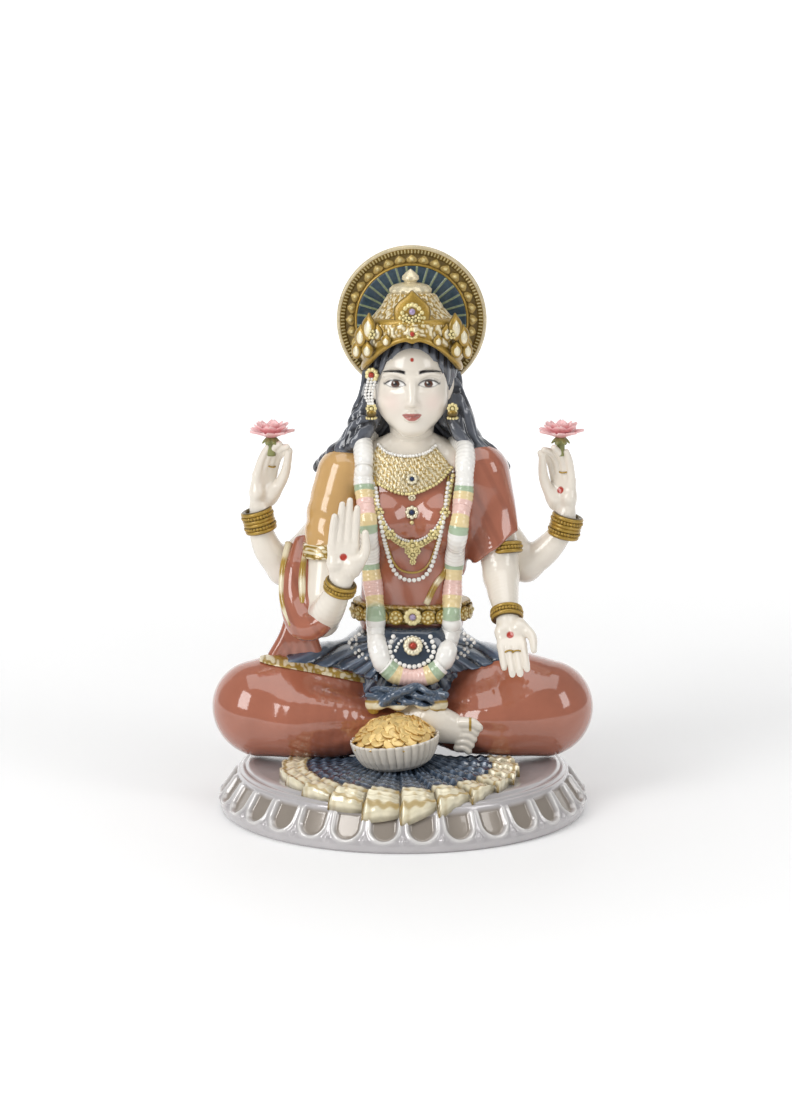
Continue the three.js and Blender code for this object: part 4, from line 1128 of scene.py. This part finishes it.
def garland():
    """The flower garland: over both shoulders, down the chest, and joined at the lap."""
    front = Front("torso", "collar_necklace", "belt", "apron_panel", "shawl_shoulder", "skirt_body")
    right, left, low = Box("garland_right_strand"), Box("garland_left_strand"), Box("garland_bottom")
    radius = 5.4
    bands = [(181, GREEN), (177.5, PEACH), (173, ROSE), (165.5, PEACH), (160.5, GREEN), (157, WHITE),
             (137, GREEN), (133, PEACH), (127, ROSE), (118, PEACH), (112.5, GREEN), (106.5, WHITE)]
    hanging = {
        "garland_right_strand": right.outline([(-0.45, 0.82), (-0.45, 0.6), (-0.22, 0.24), (-0.1, -0.14),
                                               (0.13, -0.49), (0.18, -0.75), (0.55, -1)]),
        "garland_left_strand": left.outline([(0.5, 0.82), (0.44, 0.6), (0.18, 0.26), (0, -0.13),
                                             (-0.1, -0.5), (-0.14, -0.74), (-0.55, -1)]),
    }
    for name, rows in hanging.items():
        chest = front.path(rows, radius * 0.55, 0.5, 41)
        top = chest[0] + (0, 13, 10.5)
        back = top + (np.sign(HEAD.centre[0] - top[0]) * 6, 16, -1)
        over = smooth_path([back, top, chest[0], chest[12]], 24)[:49]
        path = spaced(np.vstack([over[:-1], chest]), 0.5)
        tints = np.tile(WHITE, (len(path), 1))
        for level, colour in bands:
            tints[path[:, 2] < level] = colour
        flower_rope(name, path, radius, tints)
    rows = low.outline([(-0.82, 0.48), (-0.5, -0.16), (0, -0.4), (0.5, -0.16), (0.85, 0.5)])
    path = front.path(rows, radius * 0.55, 0.5, 41)
    path[:, 1] = path[:, 1].min()
    away = np.abs(path[:, 0] - low.centre[0])
    tints = np.tile(WHITE, (len(path), 1))
    for reach, colour in ((15, GREEN), (11.5, PEACH), (7, ROSE)):
        tints[away < reach] = colour
    flower_rope("garland_bottom", path, radius, tints)


def flower_rope(name, path, radius, tints):
    """A rope of small petals, thicker at each whole flower. Its path has a point every half millimetre."""
    run = np.arange(len(path)) * 0.5
    petals = 0.1 * np.sin(run * 2 * math.pi / 2.6)
    flowers = 0.3 * np.sin(run * 2 * math.pi / 22)
    kit = Kit()
    kit.tube(path, radius + petals + flowers, tints, 36)
    kit.build(name)


# ------------------------------------------------------------------ jewellery
def resampled(edge, count):
    """The same path with an equal number of points along each of its parts."""
    shares, wanted = np.linspace(0, 1, len(edge)), np.linspace(0, 1, count)
    return np.column_stack([np.interp(wanted, shares, column) for column in edge.T])


def collar():
    """A broad collar of scrollwork laid on the chest, with pearls above and gold beads below."""
    front = Front("torso", "head")
    box = Box("collar_necklace")
    upper = mirrored([(-0.62, 1.1), (-0.42, 0.8), (0, 0.66)])
    lower = mirrored([(-0.98, 0.1), (-0.62, -0.62), (0, -1.05)])
    top, bottom = (resampled(spaced(smooth_path(box.outline(rows), 12), 0.7), 150) for rows in (upper, lower))
    share = np.linspace(0, 1, 30)[:, None, None]
    flat = top * (1 - share) + bottom * share
    laid = np.array([[front.at(x, z) for x, z in row] for row in flat])
    crest = filigree(flat[..., 0], flat[..., 1], 3.6)
    laid[..., 1] -= 1.0 + 0.8 * crest
    points, quads = slab(laid, laid + (0, 3, 0))
    tints = gilt(0.42 + 0.6 * crest)
    kit = Kit()
    kit.add(points, quads, np.concatenate([tints, tints[:, ::-1]], axis=1).reshape(-1, 3))
    for place in spaced(laid[0], 2.1):
        kit.bead(place + (0, -0.6, 0), 1.15, WHITE)
    for place in spaced(laid[-1], 2.3):
        kit.bead(place + (0, -0.3, 0), 1.1, GOLD_PALE, GOLD_DEEP)
    kit.build("collar_necklace")


def pendant_chain(front):
    box = Box("pendant_chain")
    x = box.centre[0]
    kit = Kit()
    for share, gem, size in ((0.68, BLUE, 3.4), (-0.2, None, 2.3), (-0.92, BLUE, 4.0)):
        z = box.at(0, 0, share)[2]
        kit.rosette(front.at(x, z, 0.8), front.normal(x, z), size, gem, 8, CREAM)
    kit.bead(front.at(x, box.at(0, 0, -1.4)[2], 0.6), 1.3, GOLD_PALE, GOLD)
    kit.build("pendant_chain")


def middle_necklace(front):
    """Three strings side by side, with small flowers along them and a cluster at the middle."""
    box = Box("middle_necklace")
    rows = box.outline(mirrored([(-0.98, 0.7), (-0.84, 0), (-0.5, -0.72), (0, -1.05)]))
    path = front.path(rows, 0.9)
    kit = Kit()
    for shift, radius, tint, deep in ((2.2, 0.9, WHITE, None), (0, 1.5, GOLD_PALE, GOLD_DEEP),
                                      (-2.2, 0.9, GOLD_PALE, GOLD_DEEP)):
        kit.beads(front.path([(x, z + shift) for x, z in rows], 0.9), radius, tint, deep)
    for share in (0.2, 0.35, 0.65, 0.8):
        kit.rosette(path[int(share * len(path))] + (0, -0.6, 0), (0, -1, 0), 3.2, petals=6)
    heart = path[len(path) // 2]
    cluster = [(0, 0, 3.6), (0, -5.5, 3), (0, -9.5, 2)] + both_sides([(4.3, 1.2, 2.8), (2.6, -3.4, 2.2)])
    for x, z, size in cluster:
        kit.rosette(heart + (x, -0.5, z), (0, -1, 0), size, petals=7)
    kit.build("middle_necklace")


def long_necklace(front):
    """A string of pearls with a gold cord over it, down to just below its own box."""
    box = Box("long_necklace")
    low, reach = box.low[2] - 5, Box("middle_necklace").half[0] * 0.88
    half = [(-1, 182), (-0.8, 158), (-0.5, low + 6), (0, low)]
    rows = [(box.centre[0] + reach * x, z) for x, z in mirrored(half)]
    kit = Kit()
    kit.beads(front.path(rows, 1.2), 1.35, WHITE)
    kit.tube(front.path([(x, z + 4.2) for x, z in rows], 0.7, 0.8), 0.65, GOLD, 8)
    kit.build("long_necklace")


def necklaces():
    collar()
    front = Front("torso", "collar_necklace")
    pendant_chain(front)
    middle_necklace(front)
    long_necklace(front)


RING_PITCH = 2.1


def bangle(name, axis, rings):
    """Stacked gold rings with rows of beads, round an arm."""
    box = Box(name)
    across, up, out = axes_for(axis)
    kit = Kit()
    turns = np.linspace(0, 2 * math.pi, 61)[:, None]
    circle = np.cos(turns) * across + np.sin(turns) * up
    for number in range(rings):
        middle = box.centre + out * (number - (rings - 1) / 2) * RING_PITCH
        kit.tube(middle + 7.4 * circle, 1.5, GOLD_DEEP, 10)
        if number % 3 == 1:
            for place in spaced(middle + 8.4 * circle, 1.8)[:-1]:
                kit.bead(place, 1.15, GOLD, GOLD_DEEP, unit(place - box.centre))
        else:
            kit.tube(middle + 8.0 * circle, 1.2, GOLD, 10)
    kit.build(name)


def bangles():
    bangle("rear_right_bangle", (-0.25, -0.05, 1), 6)
    bangle("rear_left_bangle", (0.25, -0.05, 1), 6)
    bangle("front_right_bangle", (0.3, -0.3, 1), 3)
    bangle("front_left_bangle", (0.12, -0.8, -1), 3)
    bangle("armlet_left", (0.1, -0.25, -1), 3)


def ear_jewels():
    right, chain = Box("ear_ornament_right"), Box("ear_chain_right")
    kit = Kit()
    kit.rosette(right.centre, (-0.5, -1, 0), 4.4, RED, 9)
    kit.build("ear_ornament_right")
    kit = Kit()
    for shift in (-1.9, 0, 1.9):
        line = np.array([right.at(0, 0, -0.4) + (shift, -0.8, 0), chain.centre + (shift - 1, -1.2, 0),
                         chain.at(0, 0, -1) + (shift * 0.6, -1, 0)])
        kit.beads(smooth_path(line), 0.95, WHITE)
    kit.build("ear_chain_right")
    for name in ("earring_right", "earring_left"):
        box = Box(name)
        kit = Kit()
        kit.rosette(box.at(0, -0.3, 0.45), (0, -1, 0), 3.3, None, 8)
        kit.lump(box.at(0, 0, -0.15), (3, 3, 2.6), GOLD, (0, 0, 1), GOLD_DEEP, 4)
        for number in range(9):
            turn = 2 * math.pi * number / 9
            ring = (2.6 * math.cos(turn), 2.6 * math.sin(turn), 0)
            kit.bead(box.at(0, 0, -0.7) + ring, 0.8, GOLD_PALE, GOLD)
        kit.build(name)


# ------------------------------------------------------------------ crown
def tilted(local, centre, lean):
    """Turns points about X so that their top leans back, and moves them to the centre."""
    x, y, z = local[..., 0], local[..., 1], local[..., 2]
    cos, sin = math.cos(lean), math.sin(lean)
    return np.stack([x, y * cos + z * sin, z * cos - y * sin], -1) + centre


def crown_shell(name, profile, zone_of, hung):
    """A turned part of the crown. Its scrollwork stands out in a zone, and hung gives its real heights."""
    box = Box("crown_band")
    radius = box.half[0]
    turn, out, height = turned(dense(np.array(profile) * (radius, 1), 0.55), 360)
    crest = filigree(turn * radius, height, 2 * math.pi * radius / 24)
    zone = zone_of(height)
    out = out + 1.3 * crest * zone
    local = np.stack([out * np.cos(turn), out * np.sin(turn), hung(turn, height)], -1)
    tints = gilt((zone * (0.15 + 0.85 * crest) + 0.5 * (1 - zone)).ravel())
    centre = np.array((box.centre[0], box.centre[1] + 1, box.low[2] + 7))
    points = tilted(local, centre, math.radians(7)).reshape(-1, 3)
    make_object(name, points, wrapped_quads(*turn.shape), tints)


def crown_band():
    """The lower band, which hangs down at both sides and in a small point over the brow."""
    profile = [(0.9, -2), (0.97, -2), (1.0, -1), (0.985, 0.2), (0.955, 0.8), (0.965, 1.6), (0.94, 7),
               (0.96, 7.6), (0.95, 8.6), (0.92, 9.6), (0.88, 10.2), (0.84, 10)]

    def zone(height):
        return smooth(0.9, 1.5, height) * smooth(7.4, 7, height)

    def hung(turn, height):
        sides = 17 * np.abs(np.cos(turn)) ** 2 * smooth(9, -2, height)
        point = 1.5 * np.exp(-((turn - 1.5 * math.pi) / 0.09) ** 2) * smooth(3, -1, height)
        return height - sides - point
    crown_shell("crown_band", profile, zone, hung)


def crown_dome():
    profile = [(0.8, 6), (0.88, 6.6), (0.78, 10), (0.66, 13.5), (0.56, 17), (0.5, 20), (0.44, 23),
               (0.4, 24), (0, 24.5), (0, 8)]
    crown_shell("crown_dome", profile, lambda height: smooth(8, 10, height), lambda turn, height: height)


def crown_finial():
    box = Box("crown_finial")
    tall = box.high[2] - box.low[2]
    profile = [(0, 0), (0.8, 0), (0.95, 0.08), (0.8, 0.16), (0.97, 0.22), (1.0, 0.34), (0.85, 0.46),
               (0.5, 0.53), (0.28, 0.56), (0.3, 0.6), (0.42, 0.66), (0.4, 0.76), (0.22, 0.88), (0, 1)]
    turn, out, height = turned(dense(np.array(profile) * (box.half[0] * 0.95, tall), 0.6), 96)
    out = out * (1 + 0.04 * np.cos(12 * turn) * smooth(0.6, 0.3, height / tall))
    local = np.stack([out * np.cos(turn), out * np.sin(turn), height], -1)
    tints = blended(GOLD, GOLD * 0.2 + CREAM * 0.8, smooth(0.1, 0.3, height / tall).ravel())
    points = (local + (box.centre[0], box.centre[1], box.low[2])).reshape(-1, 3)
    make_object("crown_finial", points, wrapped_quads(*turn.shape)[:, ::-1], tints)


def crown_wings():
    """Leaves that fan out at both sides, each with a smaller cream leaf on its face."""
    leaves = ((0.3, -0.2, 4.6, 8), (1.1, -0.9, 4, 6.5), (-0.6, -0.6, 3.6, 5), (1.5, -2, 3.6, 5.5),
              (-1.5, -1.1, 3.2, 3.6), (0.4, -1.9, 4, 5))
    for name, side in (("crown_wing_right", -1), ("crown_wing_left", 1)):
        box = Box(name)
        out = (side * 0.7, -1, 0.1)
        kit = Kit()
        for x, z, wide, tall in leaves:
            place = box.at(side * x, -0.3, z) + (0, 2.2 * x * abs(x), 0)
            kit.lump(place, (wide, tall, 2), GOLD, out, GOLD_DEEP, 6, leaf_shape)
            face = place + (side * 0.3, -1.2, -0.5)
            kit.lump(face, (wide * 0.6, tall * 0.65, 1.3), CREAM, out, GOLD, 4, leaf_shape)
        kit.rosette(box.at(0, -0.9, -0.7), out, 3, petals=6)
        kit.build(name)


def crown_crest():
    """A tall leaf over the brow with a lilac gem in a loop of beads, and leaves and flowers beside it."""
    box = Box("crown_crest")
    upward = (0, -1, 0.1)
    kit = Kit()
    leaves = [(0, 0.7, 10.5, 12.5)] + both_sides([(1.4, -0.2, 5, 6.5), (2.3, -0.8, 4, 5)])
    for x, z, wide, tall in leaves:
        place = box.at(x, 0.5, z) + (0, 1.6 * abs(x), 0)
        kit.lump(place, (wide, tall, 2.4), GOLD, (0.2 * x, -1, 0.15), GOLD_DEEP, 6, leaf_shape)
    for turn in np.linspace(-2.2, 2.2, 13):
        across = 6.6 * math.sin(turn) * (1 - 0.2 * math.cos(turn))
        place = box.at(0, -0.2, 0.2) + (across, 1.0, 8 * math.cos(turn))
        kit.lump(place, (1.6, 1.6, 1.3), GOLD_PALE, upward, GOLD_DEEP)
    flowers = [(0, 0.4, 2.8)] + both_sides([(3.4, 1.8, 2.6), (5.4, -2.6, 2.6), (9.5, -4.5, 2.4),
                                            (13.5, -5.5, 2.2)])
    for x, z, size in flowers:
        kit.rosette(box.at(0, -0.6, 0.1) + (x, 0.02 * x * x, z), (0.03 * x, -1, 0.1), size, petals=5)
    kit.lump(box.at(0, -0.8, 0.85), (1.9, 1.9, 1.4), LILAC, upward)
    kit.rosette(box.at(0, -0.9, -0.9), upward, 4, RED, 8)
    kit.build("crown_crest")


def leaf_shape(ball):
    """Narrows a ball to a point at its top."""
    ball[:, 0] *= 1 - 0.7 * smooth(0.1, 1, ball[:, 1]) ** 1.5
    return ball


# ------------------------------------------------------------------ halo
RAYS = 32
RAY_PITCH = 2 * math.pi / RAYS


def faced_forward(turn, radius, depth):
    """Points of a turned shape whose axis lies along Y and whose depth goes to the front."""
    return np.stack([radius * np.cos(turn), -depth, radius * np.sin(turn)], -1).reshape(-1, 3)


def halo_rim():
    """The gold rim: a ring of petals with a bud in each, then a row of beads and a plain edge."""
    box, field = Box("halo_rim"), Box("halo_disc").half[0]
    edge = box.half[0]
    petal_start, petal_end, bead_end = field + 1.5, edge - 4.9, edge - 2.3
    rows = dense([(field - 0.3, 0.3), (field - 0.3, 3.7), (field + 0.4, 4.4), (field + 1.1, 4.1),
                  (petal_start, 3.0), (petal_end, 3.0), (petal_end + 0.5, 3.6), (edge - 2.4, 4.0),
                  (edge - 1.9, 4.6), (edge - 0.7, 4.6), (edge, 3.4), (edge, 1.2), (edge - 0.8, 0.2),
                  (edge - 2, 0)], 0.35)
    turn, radius, depth = turned(rows, RAYS * 28)
    side = (turn / RAY_PITCH - np.round(turn / RAY_PITCH)) * RAY_PITCH * radius
    along = np.clip((radius - field - 1.5) / (petal_end - field - 1.5), 0, 1)
    width = 3.5 * np.sin(math.pi * along ** 0.62) ** 0.8
    front = (depth > 2.5) * (radius > field + 1.4) * (radius < petal_end + 0.1)
    lip = smooth(0, 0.9, width - np.abs(side)) * front
    bud = np.exp(-((side / 1.1) ** 2 + ((along - 0.42) * 4.2) ** 2) ** 2) * front
    bead_row = (depth > 3) * (radius > petal_end + 0.4) * (radius < bead_end)
    beads = smooth(-0.2, 0.9, np.cos(RAYS * 4 * turn)) * bead_row
    depth += 0.9 * lip + 1.0 * bud + 0.8 * beads
    groove = (depth > 3) * (radius > petal_end) * (radius < bead_end)
    tints = blended(GOLD, GOLD_DEEP, (front * 0.9 + 0.7 * groove).ravel())
    tints = blended(tints, GOLD * 0.8 + GOLD_PALE * 0.2, (0.9 * lip).ravel())
    tints = blended(tints, GOLD_PALE, (0.8 * bud + 0.6 * beads).ravel())
    tints = blended(tints, CREAM * 0.6 + GOLD * 0.4, smooth(edge - 2.2, edge - 1.7, radius).ravel())
    points = faced_forward(turn, radius, depth) + (box.centre[0], box.high[1], box.centre[2])
    make_object("halo_rim", points, wrapped_quads(*turn.shape)[:, ::-1], tints)


def halo_disc():
    """The teal field, with a painted ray between every two petals."""
    box = Box("halo_disc")
    field, thick = box.half[0], 2 * box.half[1]
    rows = np.vstack([dense([(0.0, 0), (field, 0)], 1.2, False), [(field, 0)],
                      dense([(field, thick), (0.0, thick)], 0.7, False), [(0.0, thick)]])
    turn, radius, depth = turned(rows, RAYS * 24)
    shifted = turn / RAY_PITCH + 0.5
    share = np.abs(shifted - np.round(shifted)) * RAY_PITCH * radius
    ray = smooth(0.75, 0.35, share) * smooth(8, 14, radius) * (depth > 1)
    points = faced_forward(turn, radius, depth + 0.35 * ray) + (box.centre[0], box.high[1], box.centre[2])
    quads = wrapped_quads(len(turn), len(rows), close_columns=False)
    make_object("halo_disc", points, quads, blended(TEAL, RAY, ray.ravel()))


def halo_lug():
    box = Box("halo_lug")
    clay = Clay(box, step=0.8)
    clay.blob(box.centre, box.half * (1, 1.3, 1), 1)
    clay.skin("halo_lug", plain(HAIR))


# ------------------------------------------------------------------ pleated fan, bowl and coins
def fan():
    cloth, hem = Box("pleat_fan"), Box("pleat_fan_hem")
    centre = np.array((hem.centre[0], cloth.high[1] + 1.5))
    outer = centre[1] - hem.low[1] + 1.5
    inner, middle = 8.0, 0.77 * outer
    folds, spread = 13, math.radians(84)

    def sheet(name, near, far, count, tint):
        turn = np.linspace(-spread, spread, folds * 32)[:, None]
        fold = turn / (2 * spread) * folds
        saw = fold - np.floor(fold)
        out = np.linspace(0, 1, count)[None, :]
        stagger = 2.0 * saw * smooth(0.4, 1, out)
        reach = near + (far - near) * out - stagger * (1.6 if far == outer else 0)
        squeeze = 1 - 0.34 * (np.abs(turn) / spread) ** 1.6
        x = centre[0] + reach * squeeze * np.sin(turn)
        y = centre[1] - reach * squeeze * np.cos(turn)
        ground = plinth_height(np.hypot(x, y))
        grown = smooth(inner, middle, reach)
        block = smooth(0, 0.12, saw) * (1 - 0.5 * smooth(0.45, 1, saw))
        ripple = 0.45 * np.sin(reach * 0.75 + 3 * np.abs(saw - 0.5)) * grown
        fine = 0.5 * np.sin(fold * 2 * math.pi * 3) * (1 - 0.6 * grown)
        raised = 10 * np.maximum(0, 1 - reach / 50) ** 1.5
        lift = 1.8 + raised + (0.6 + 3.4 * grown) * block + ripple + fine
        top = np.stack([x, y, ground + lift], -1)
        bottom = np.stack([x, y, np.broadcast_to(ground + 0.1 + 0.6 * raised, x.shape)], -1)
        points, quads = slab(top[:, ::-1], bottom[:, ::-1])
        tints = tint(*(np.broadcast_to(part, x.shape) for part in (block, ripple + fine, out)))[:, ::-1]
        tints = np.concatenate([tints, tints[:, ::-1]], axis=1).reshape(-1, 3)
        make_object(name, points, quads, tints)

    def cloth_tint(block, wave, _):
        # Painted shade and highlight: darker in the pleat hollows and the troughs of the ripples, paler on
        # the ripple crests.
        shade = (0.5 + wave * 0.9).ravel()
        tints = blended(SLATE_DEEP, SLATE, shade * (0.3 + 0.7 * block.ravel()) * 1.5)
        return blended(tints, SLATE_HIGHLIGHT, 0.8 * smooth(0.75, 1.1, shade)).reshape(*block.shape, 3)

    def hem_tint(block, wave, out):
        # Painted shade: deep gold down in the pleat hollows, cream on the pleat faces; the wash is a band
        # pattern of gold over them.
        tints = blended(GOLD_DEEP, CREAM, smooth(0.1, 0.9, block).ravel())
        wash = 0.7 * smooth(0.1, 0.8, np.sin(out * 8 + wave * 2 + 1)).ravel()
        return blended(tints, GOLD, wash).reshape(*block.shape, 3)
    sheet("pleat_fan", inner, middle + 1, 110, cloth_tint)
    sheet("pleat_fan_hem", middle, outer, 40, hem_tint)


BOWL = Box("coin_bowl")
BOWL_RADIUS = BOWL.half[0] * 0.99
BOWL_FOOT = BOWL.at(0, 0, -1)
BOWL_LEAN = math.radians(6)
BOWL_TURN = np.array([[math.cos(BOWL_LEAN), 0, -math.sin(BOWL_LEAN)],
                      [0, 1, 0],
                      [math.sin(BOWL_LEAN), 0, math.cos(BOWL_LEAN)]])
COINS = 170
GOLDEN_ANGLE = 2.39996


def bowl():
    """A fluted bowl on a small foot, leaning a little to one side."""
    profile = [(0, 0.6), (0.5, 0.6), (0.56, 0), (0.66, 0.2), (0.78, 2.4), (0.89, 6.5), (0.96, 11),
               (1.0, 15), (0.99, 16), (0.95, 15.5), (0.88, 10), (0.75, 5), (0.5, 3), (0, 3)]
    turn, out, height = turned(dense(np.array(profile) * (BOWL_RADIUS, 1), 0.8), 384)
    flute = np.abs(np.sin(16 * turn))
    out = out * (1 + 0.06 * (flute - 0.7) * smooth(0.5, 4, height))
    height = height + 0.6 * (flute - 0.5) * smooth(10, 15, height)
    local = np.stack([out * np.cos(turn), out * np.sin(turn), height], -1).reshape(-1, 3)
    tints = blended(SKIN, TAUPE, 0.4 * smooth(0.35, 0.0, flute).ravel())
    points = local @ BOWL_TURN.T + BOWL_FOOT + (0, 0, 2)
    make_object("coin_bowl", points, wrapped_quads(*turn.shape), tints)


def coins():
    """A heap of coins laid in a spiral over a mound in the deep coin colour, a painted shade for the gaps
    between them; each coin has its own lie, tone and size.
    """
    kit = Kit()
    top = BOWL_FOOT + BOWL_TURN @ np.array((0, 0, 14.0)) + (0, 0, 1.5)
    # Painted shade: the mound under the coins is dark, and shows only in the gaps between them.
    kit.lump(top, (0.88 * BOWL_RADIUS, 0.88 * BOWL_RADIUS, 11.5), COIN_SHADE, (0, 0, 1), cuts=6)
    for number in range(COINS):
        away = math.sqrt((number + 0.5) / COINS)
        turn = GOLDEN_ANGLE * number
        place = np.array((math.cos(turn), math.sin(turn), 0)) * away * BOWL_RADIUS * 0.87
        lift = 12.3 * math.sqrt(max(0, 1 - away ** 2)) + CHANCE.uniform(0, 1.1)
        normal = np.array((math.cos(turn) * away, math.sin(turn) * away, 1.0)) + CHANCE.normal(0, 0.22, 3)
        shade = COIN * CHANCE.uniform(0.85, 1.15)
        centre = top + BOWL_TURN @ (place + (0, 0, lift))
        kit.disc(centre, normal, CHANCE.uniform(3.1, 3.9), 1.2, shade, COIN_SHADE)
    kit.build("coin_heap")


# ------------------------------------------------------------------ lotuses and foot
def petal(kit, centre, turn, length, width, rise, curl):
    """One lotus petal: cupped, pointed, and paler at its tip."""
    u, v = np.meshgrid(np.linspace(0, 1, 16), np.linspace(-1, 1, 11), indexing="ij")
    wide = width * np.sin(math.pi * np.minimum(0.97, u ** 0.8 * 0.93 + 0.04)) ** 0.75
    out = length * u * math.cos(rise)
    high = length * (u * math.sin(rise) - curl * u ** 2 * 0.3) + 0.32 * width * v ** 2 * (1 - 0.4 * u)
    side = wide * v
    cos, sin = math.cos(turn), math.sin(turn)
    top = np.stack([out * cos - side * sin, out * sin + side * cos, high], -1) + centre
    thick = 0.35 * (1 - 0.7 * v ** 2)[..., None]
    points, quads = slab(top, top - thick * (0, 0, 1) - (0, 0, 0.12))
    share = 0.15 + 0.85 * u ** 1.5
    both = np.concatenate([share, share[:, ::-1]], axis=1).ravel()
    kit.add(points, quads, blended(LOTUS, LOTUS_PALE, both))


def lotuses():
    for side in ("right", "left"):
        box, calyx = Box("lotus_" + side), Box("lotus_calyx_" + side)
        centre = np.array((box.centre[0], box.centre[1], box.low[2] - 1))
        kit = Kit()
        for count, length, width, rise, shift in ((7, 1.06, 5, 0.4, 0), (6, 1.02, 4.6, 0.72, 0.4),
                                                  (5, 0.9, 4, 1.0, 0.2), (4, 0.7, 3, 1.3, 0.6)):
            for number in range(count):
                turn = 2 * math.pi * number / count + shift
                petal(kit, centre, turn, length * box.half[0], width, rise, 0.3)
        kit.build("lotus_" + side)
        kit = Kit()
        kit.lump(calyx.at(0, 0, 0.55), (3.7, 3.7, 2.6), LEAF, (0, 0, 1), cuts=6)
        for number in range(6):
            turn = 2 * math.pi * number / 6
            cos, sin = math.cos(turn), math.sin(turn)
            place = calyx.at(0, 0, 0.6) + (3.4 * cos, 3.4 * sin, 0)
            kit.lump(place, (1.7, 2.8, 0.8), LEAF, (cos, sin, 0.9), cuts=4, shape=leaf_shape)
        kit.tube(np.linspace(calyx.at(0, 0, -1.3), calyx.at(0, 0, 0.5), 8), 2.4, LEAF, 14)
        kit.build("lotus_calyx_" + side)


def foot():
    """The right foot, seen from its outer side, with the toes curled under at the end."""
    box = Box("right_foot")
    clay = Clay(box, step=0.5)
    sole = [(-0.95, 0.2, 0.45), (-0.3, -0.25, 0.25), (0.2, -0.3, -0.02), (0.48, -0.3, -0.2)]
    clay.limb([box.at(*share) for share in sole], (9, 10.5, 8.8, 6.6), 3, flat=((0, 1, 0), 0.75))
    for number, size in enumerate((3.3, 2.5, 2.4, 2.2, 2.0)):
        start = box.at(0.46 - 0.03 * number, -0.6, 0.3 - 0.3 * number)
        reach = 9 - 0.7 * number
        clay.limb([start, start + (0.65 * reach, -1.8, 0.3), start + (reach, -1.4, -1.6)],
                  (size * 1.1, size, size * 1.05), 0.8, 4)
    ring = box.at(0.68, 0, 0.3)

    def tints(points):
        along, over = np.abs(points[:, 0] - ring[0]), np.abs(points[:, 2] - ring[2])
        gold = smooth(0.9, 0.6, along) * smooth(4, 3.4, over)
        return blended(np.broadcast_to(SKIN, points.shape), GOLD, gold)
    clay.skin("right_foot", tints)


# ------------------------------------------------------------------ studio
def white_paper():
    """White paper with a little glow of its own, which grows away from the statue."""
    paper = bpy.data.materials.new("white_paper")
    paper.use_nodes = True
    nodes, links = paper.node_tree.nodes, paper.node_tree.links
    shader = nodes["Principled BSDF"]
    shader.inputs["Roughness"].default_value = 0.6
    shader.inputs["Emission Color"].default_value = (1, 1, 1, 1)
    noise = nodes.new("ShaderNodeTexNoise")
    noise.inputs["Scale"].default_value = 2
    ramp = nodes.new("ShaderNodeMapRange")
    ramp.inputs["To Min"].default_value = 0.85
    ramp.inputs["To Max"].default_value = 0.9
    links.new(noise.outputs["Fac"], ramp.inputs["Value"])
    links.new(ramp.outputs["Result"], shader.inputs["Base Color"])
    place, length = nodes.new("ShaderNodeNewGeometry"), nodes.new("ShaderNodeVectorMath")
    length.operation = "LENGTH"
    glow = nodes.new("ShaderNodeMapRange")
    glow.inputs["From Min"].default_value = 0.15
    glow.inputs["From Max"].default_value = 1.2
    glow.inputs["To Min"].default_value = 0.1
    glow.inputs["To Max"].default_value = 0.5
    links.new(place.outputs["Position"], length.inputs[0])
    links.new(length.outputs["Value"], glow.inputs["Value"])
    links.new(glow.outputs["Result"], shader.inputs["Emission Strength"])
    return paper


def backdrop():
    """A floor that bends up into a wall behind the statue."""
    floor = bpy.data.meshes.new("floor")
    wide, deep, high, bend = 3.0, 1.6, 2.4, 0.5
    turns = np.linspace(0, math.pi / 2, 12)
    curve = [(deep + bend * math.sin(turn), bend - bend * math.cos(turn)) for turn in turns]
    line = [(-2.6, 0), *curve, (deep + bend, high)]
    points = [(x, y, z) for y, z in line for x in (-wide, wide)]
    quads = [(2 * i, 2 * i + 1, 2 * i + 3, 2 * i + 2) for i in range(len(line) - 1)]
    floor.from_pydata(points, [], quads)
    floor.polygons.foreach_set("use_smooth", [True] * len(floor.polygons))
    floor.materials.append(white_paper())
    stage = bpy.data.objects.new("floor", floor)
    bpy.context.scene.collection.objects.link(stage)


def softbox(name, place, size, power):
    """A rectangular lamp in metres and watts, turned to the middle of the statue."""
    lamp = bpy.data.lights.new(name, "AREA")
    lamp.shape = "RECTANGLE"
    lamp.size, lamp.size_y = size
    lamp.energy = power
    holder = bpy.data.objects.new(name, lamp)
    holder.location = place
    holder.rotation_euler = (Vector((0, 0, 0.15)) - Vector(place)).to_track_quat("-Z", "Y").to_euler()
    bpy.context.scene.collection.objects.link(holder)


def studio():
    backdrop()
    softbox("left_box", (-1.0, -0.9, 0.9), (0.7, 1.0), 12)
    softbox("right_box", (1.1, -0.7, 0.8), (0.45, 0.8), 4)
    softbox("top_box", (0, -0.1, 1.5), (1.4, 1.0), 7)
    world = bpy.data.worlds.new("studio")
    world.use_nodes = True
    background = world.node_tree.nodes["Background"]
    background.inputs["Color"].default_value = (1, 1, 1, 1)
    background.inputs["Strength"].default_value = 0.3
    bpy.context.scene.world = world
    bpy.context.scene.view_settings.view_transform = "Standard"


def camera():
    eye, aim = Vector((-3.9, -2160, 592)) * MM, Vector((-3.9, 0, 147)) * MM
    lens = bpy.data.cameras.new("camera")
    lens.lens = 129.1
    lens.sensor_fit = "VERTICAL"
    lens.sensor_height = 36
    holder = bpy.data.objects.new("camera", lens)
    holder.location = eye
    holder.rotation_euler = (aim - eye).to_track_quat("-Z", "Y").to_euler()
    bpy.context.scene.collection.objects.link(holder)
    bpy.context.scene.camera = holder


plinth()
legs()
skirt()
torso()
arms()
head()
hair()
sleeve()
shoulder_shawl()
elbow_swag()
shawl_tail()
belt()
apron()
sash()
necklaces()
garland()
bangles()
ear_jewels()
crown_band()
crown_dome()
crown_finial()
crown_wings()
crown_crest()
halo_rim()
halo_disc()
halo_lug()
fan()
bowl()
coins()
lotuses()
foot()
studio()
camera()
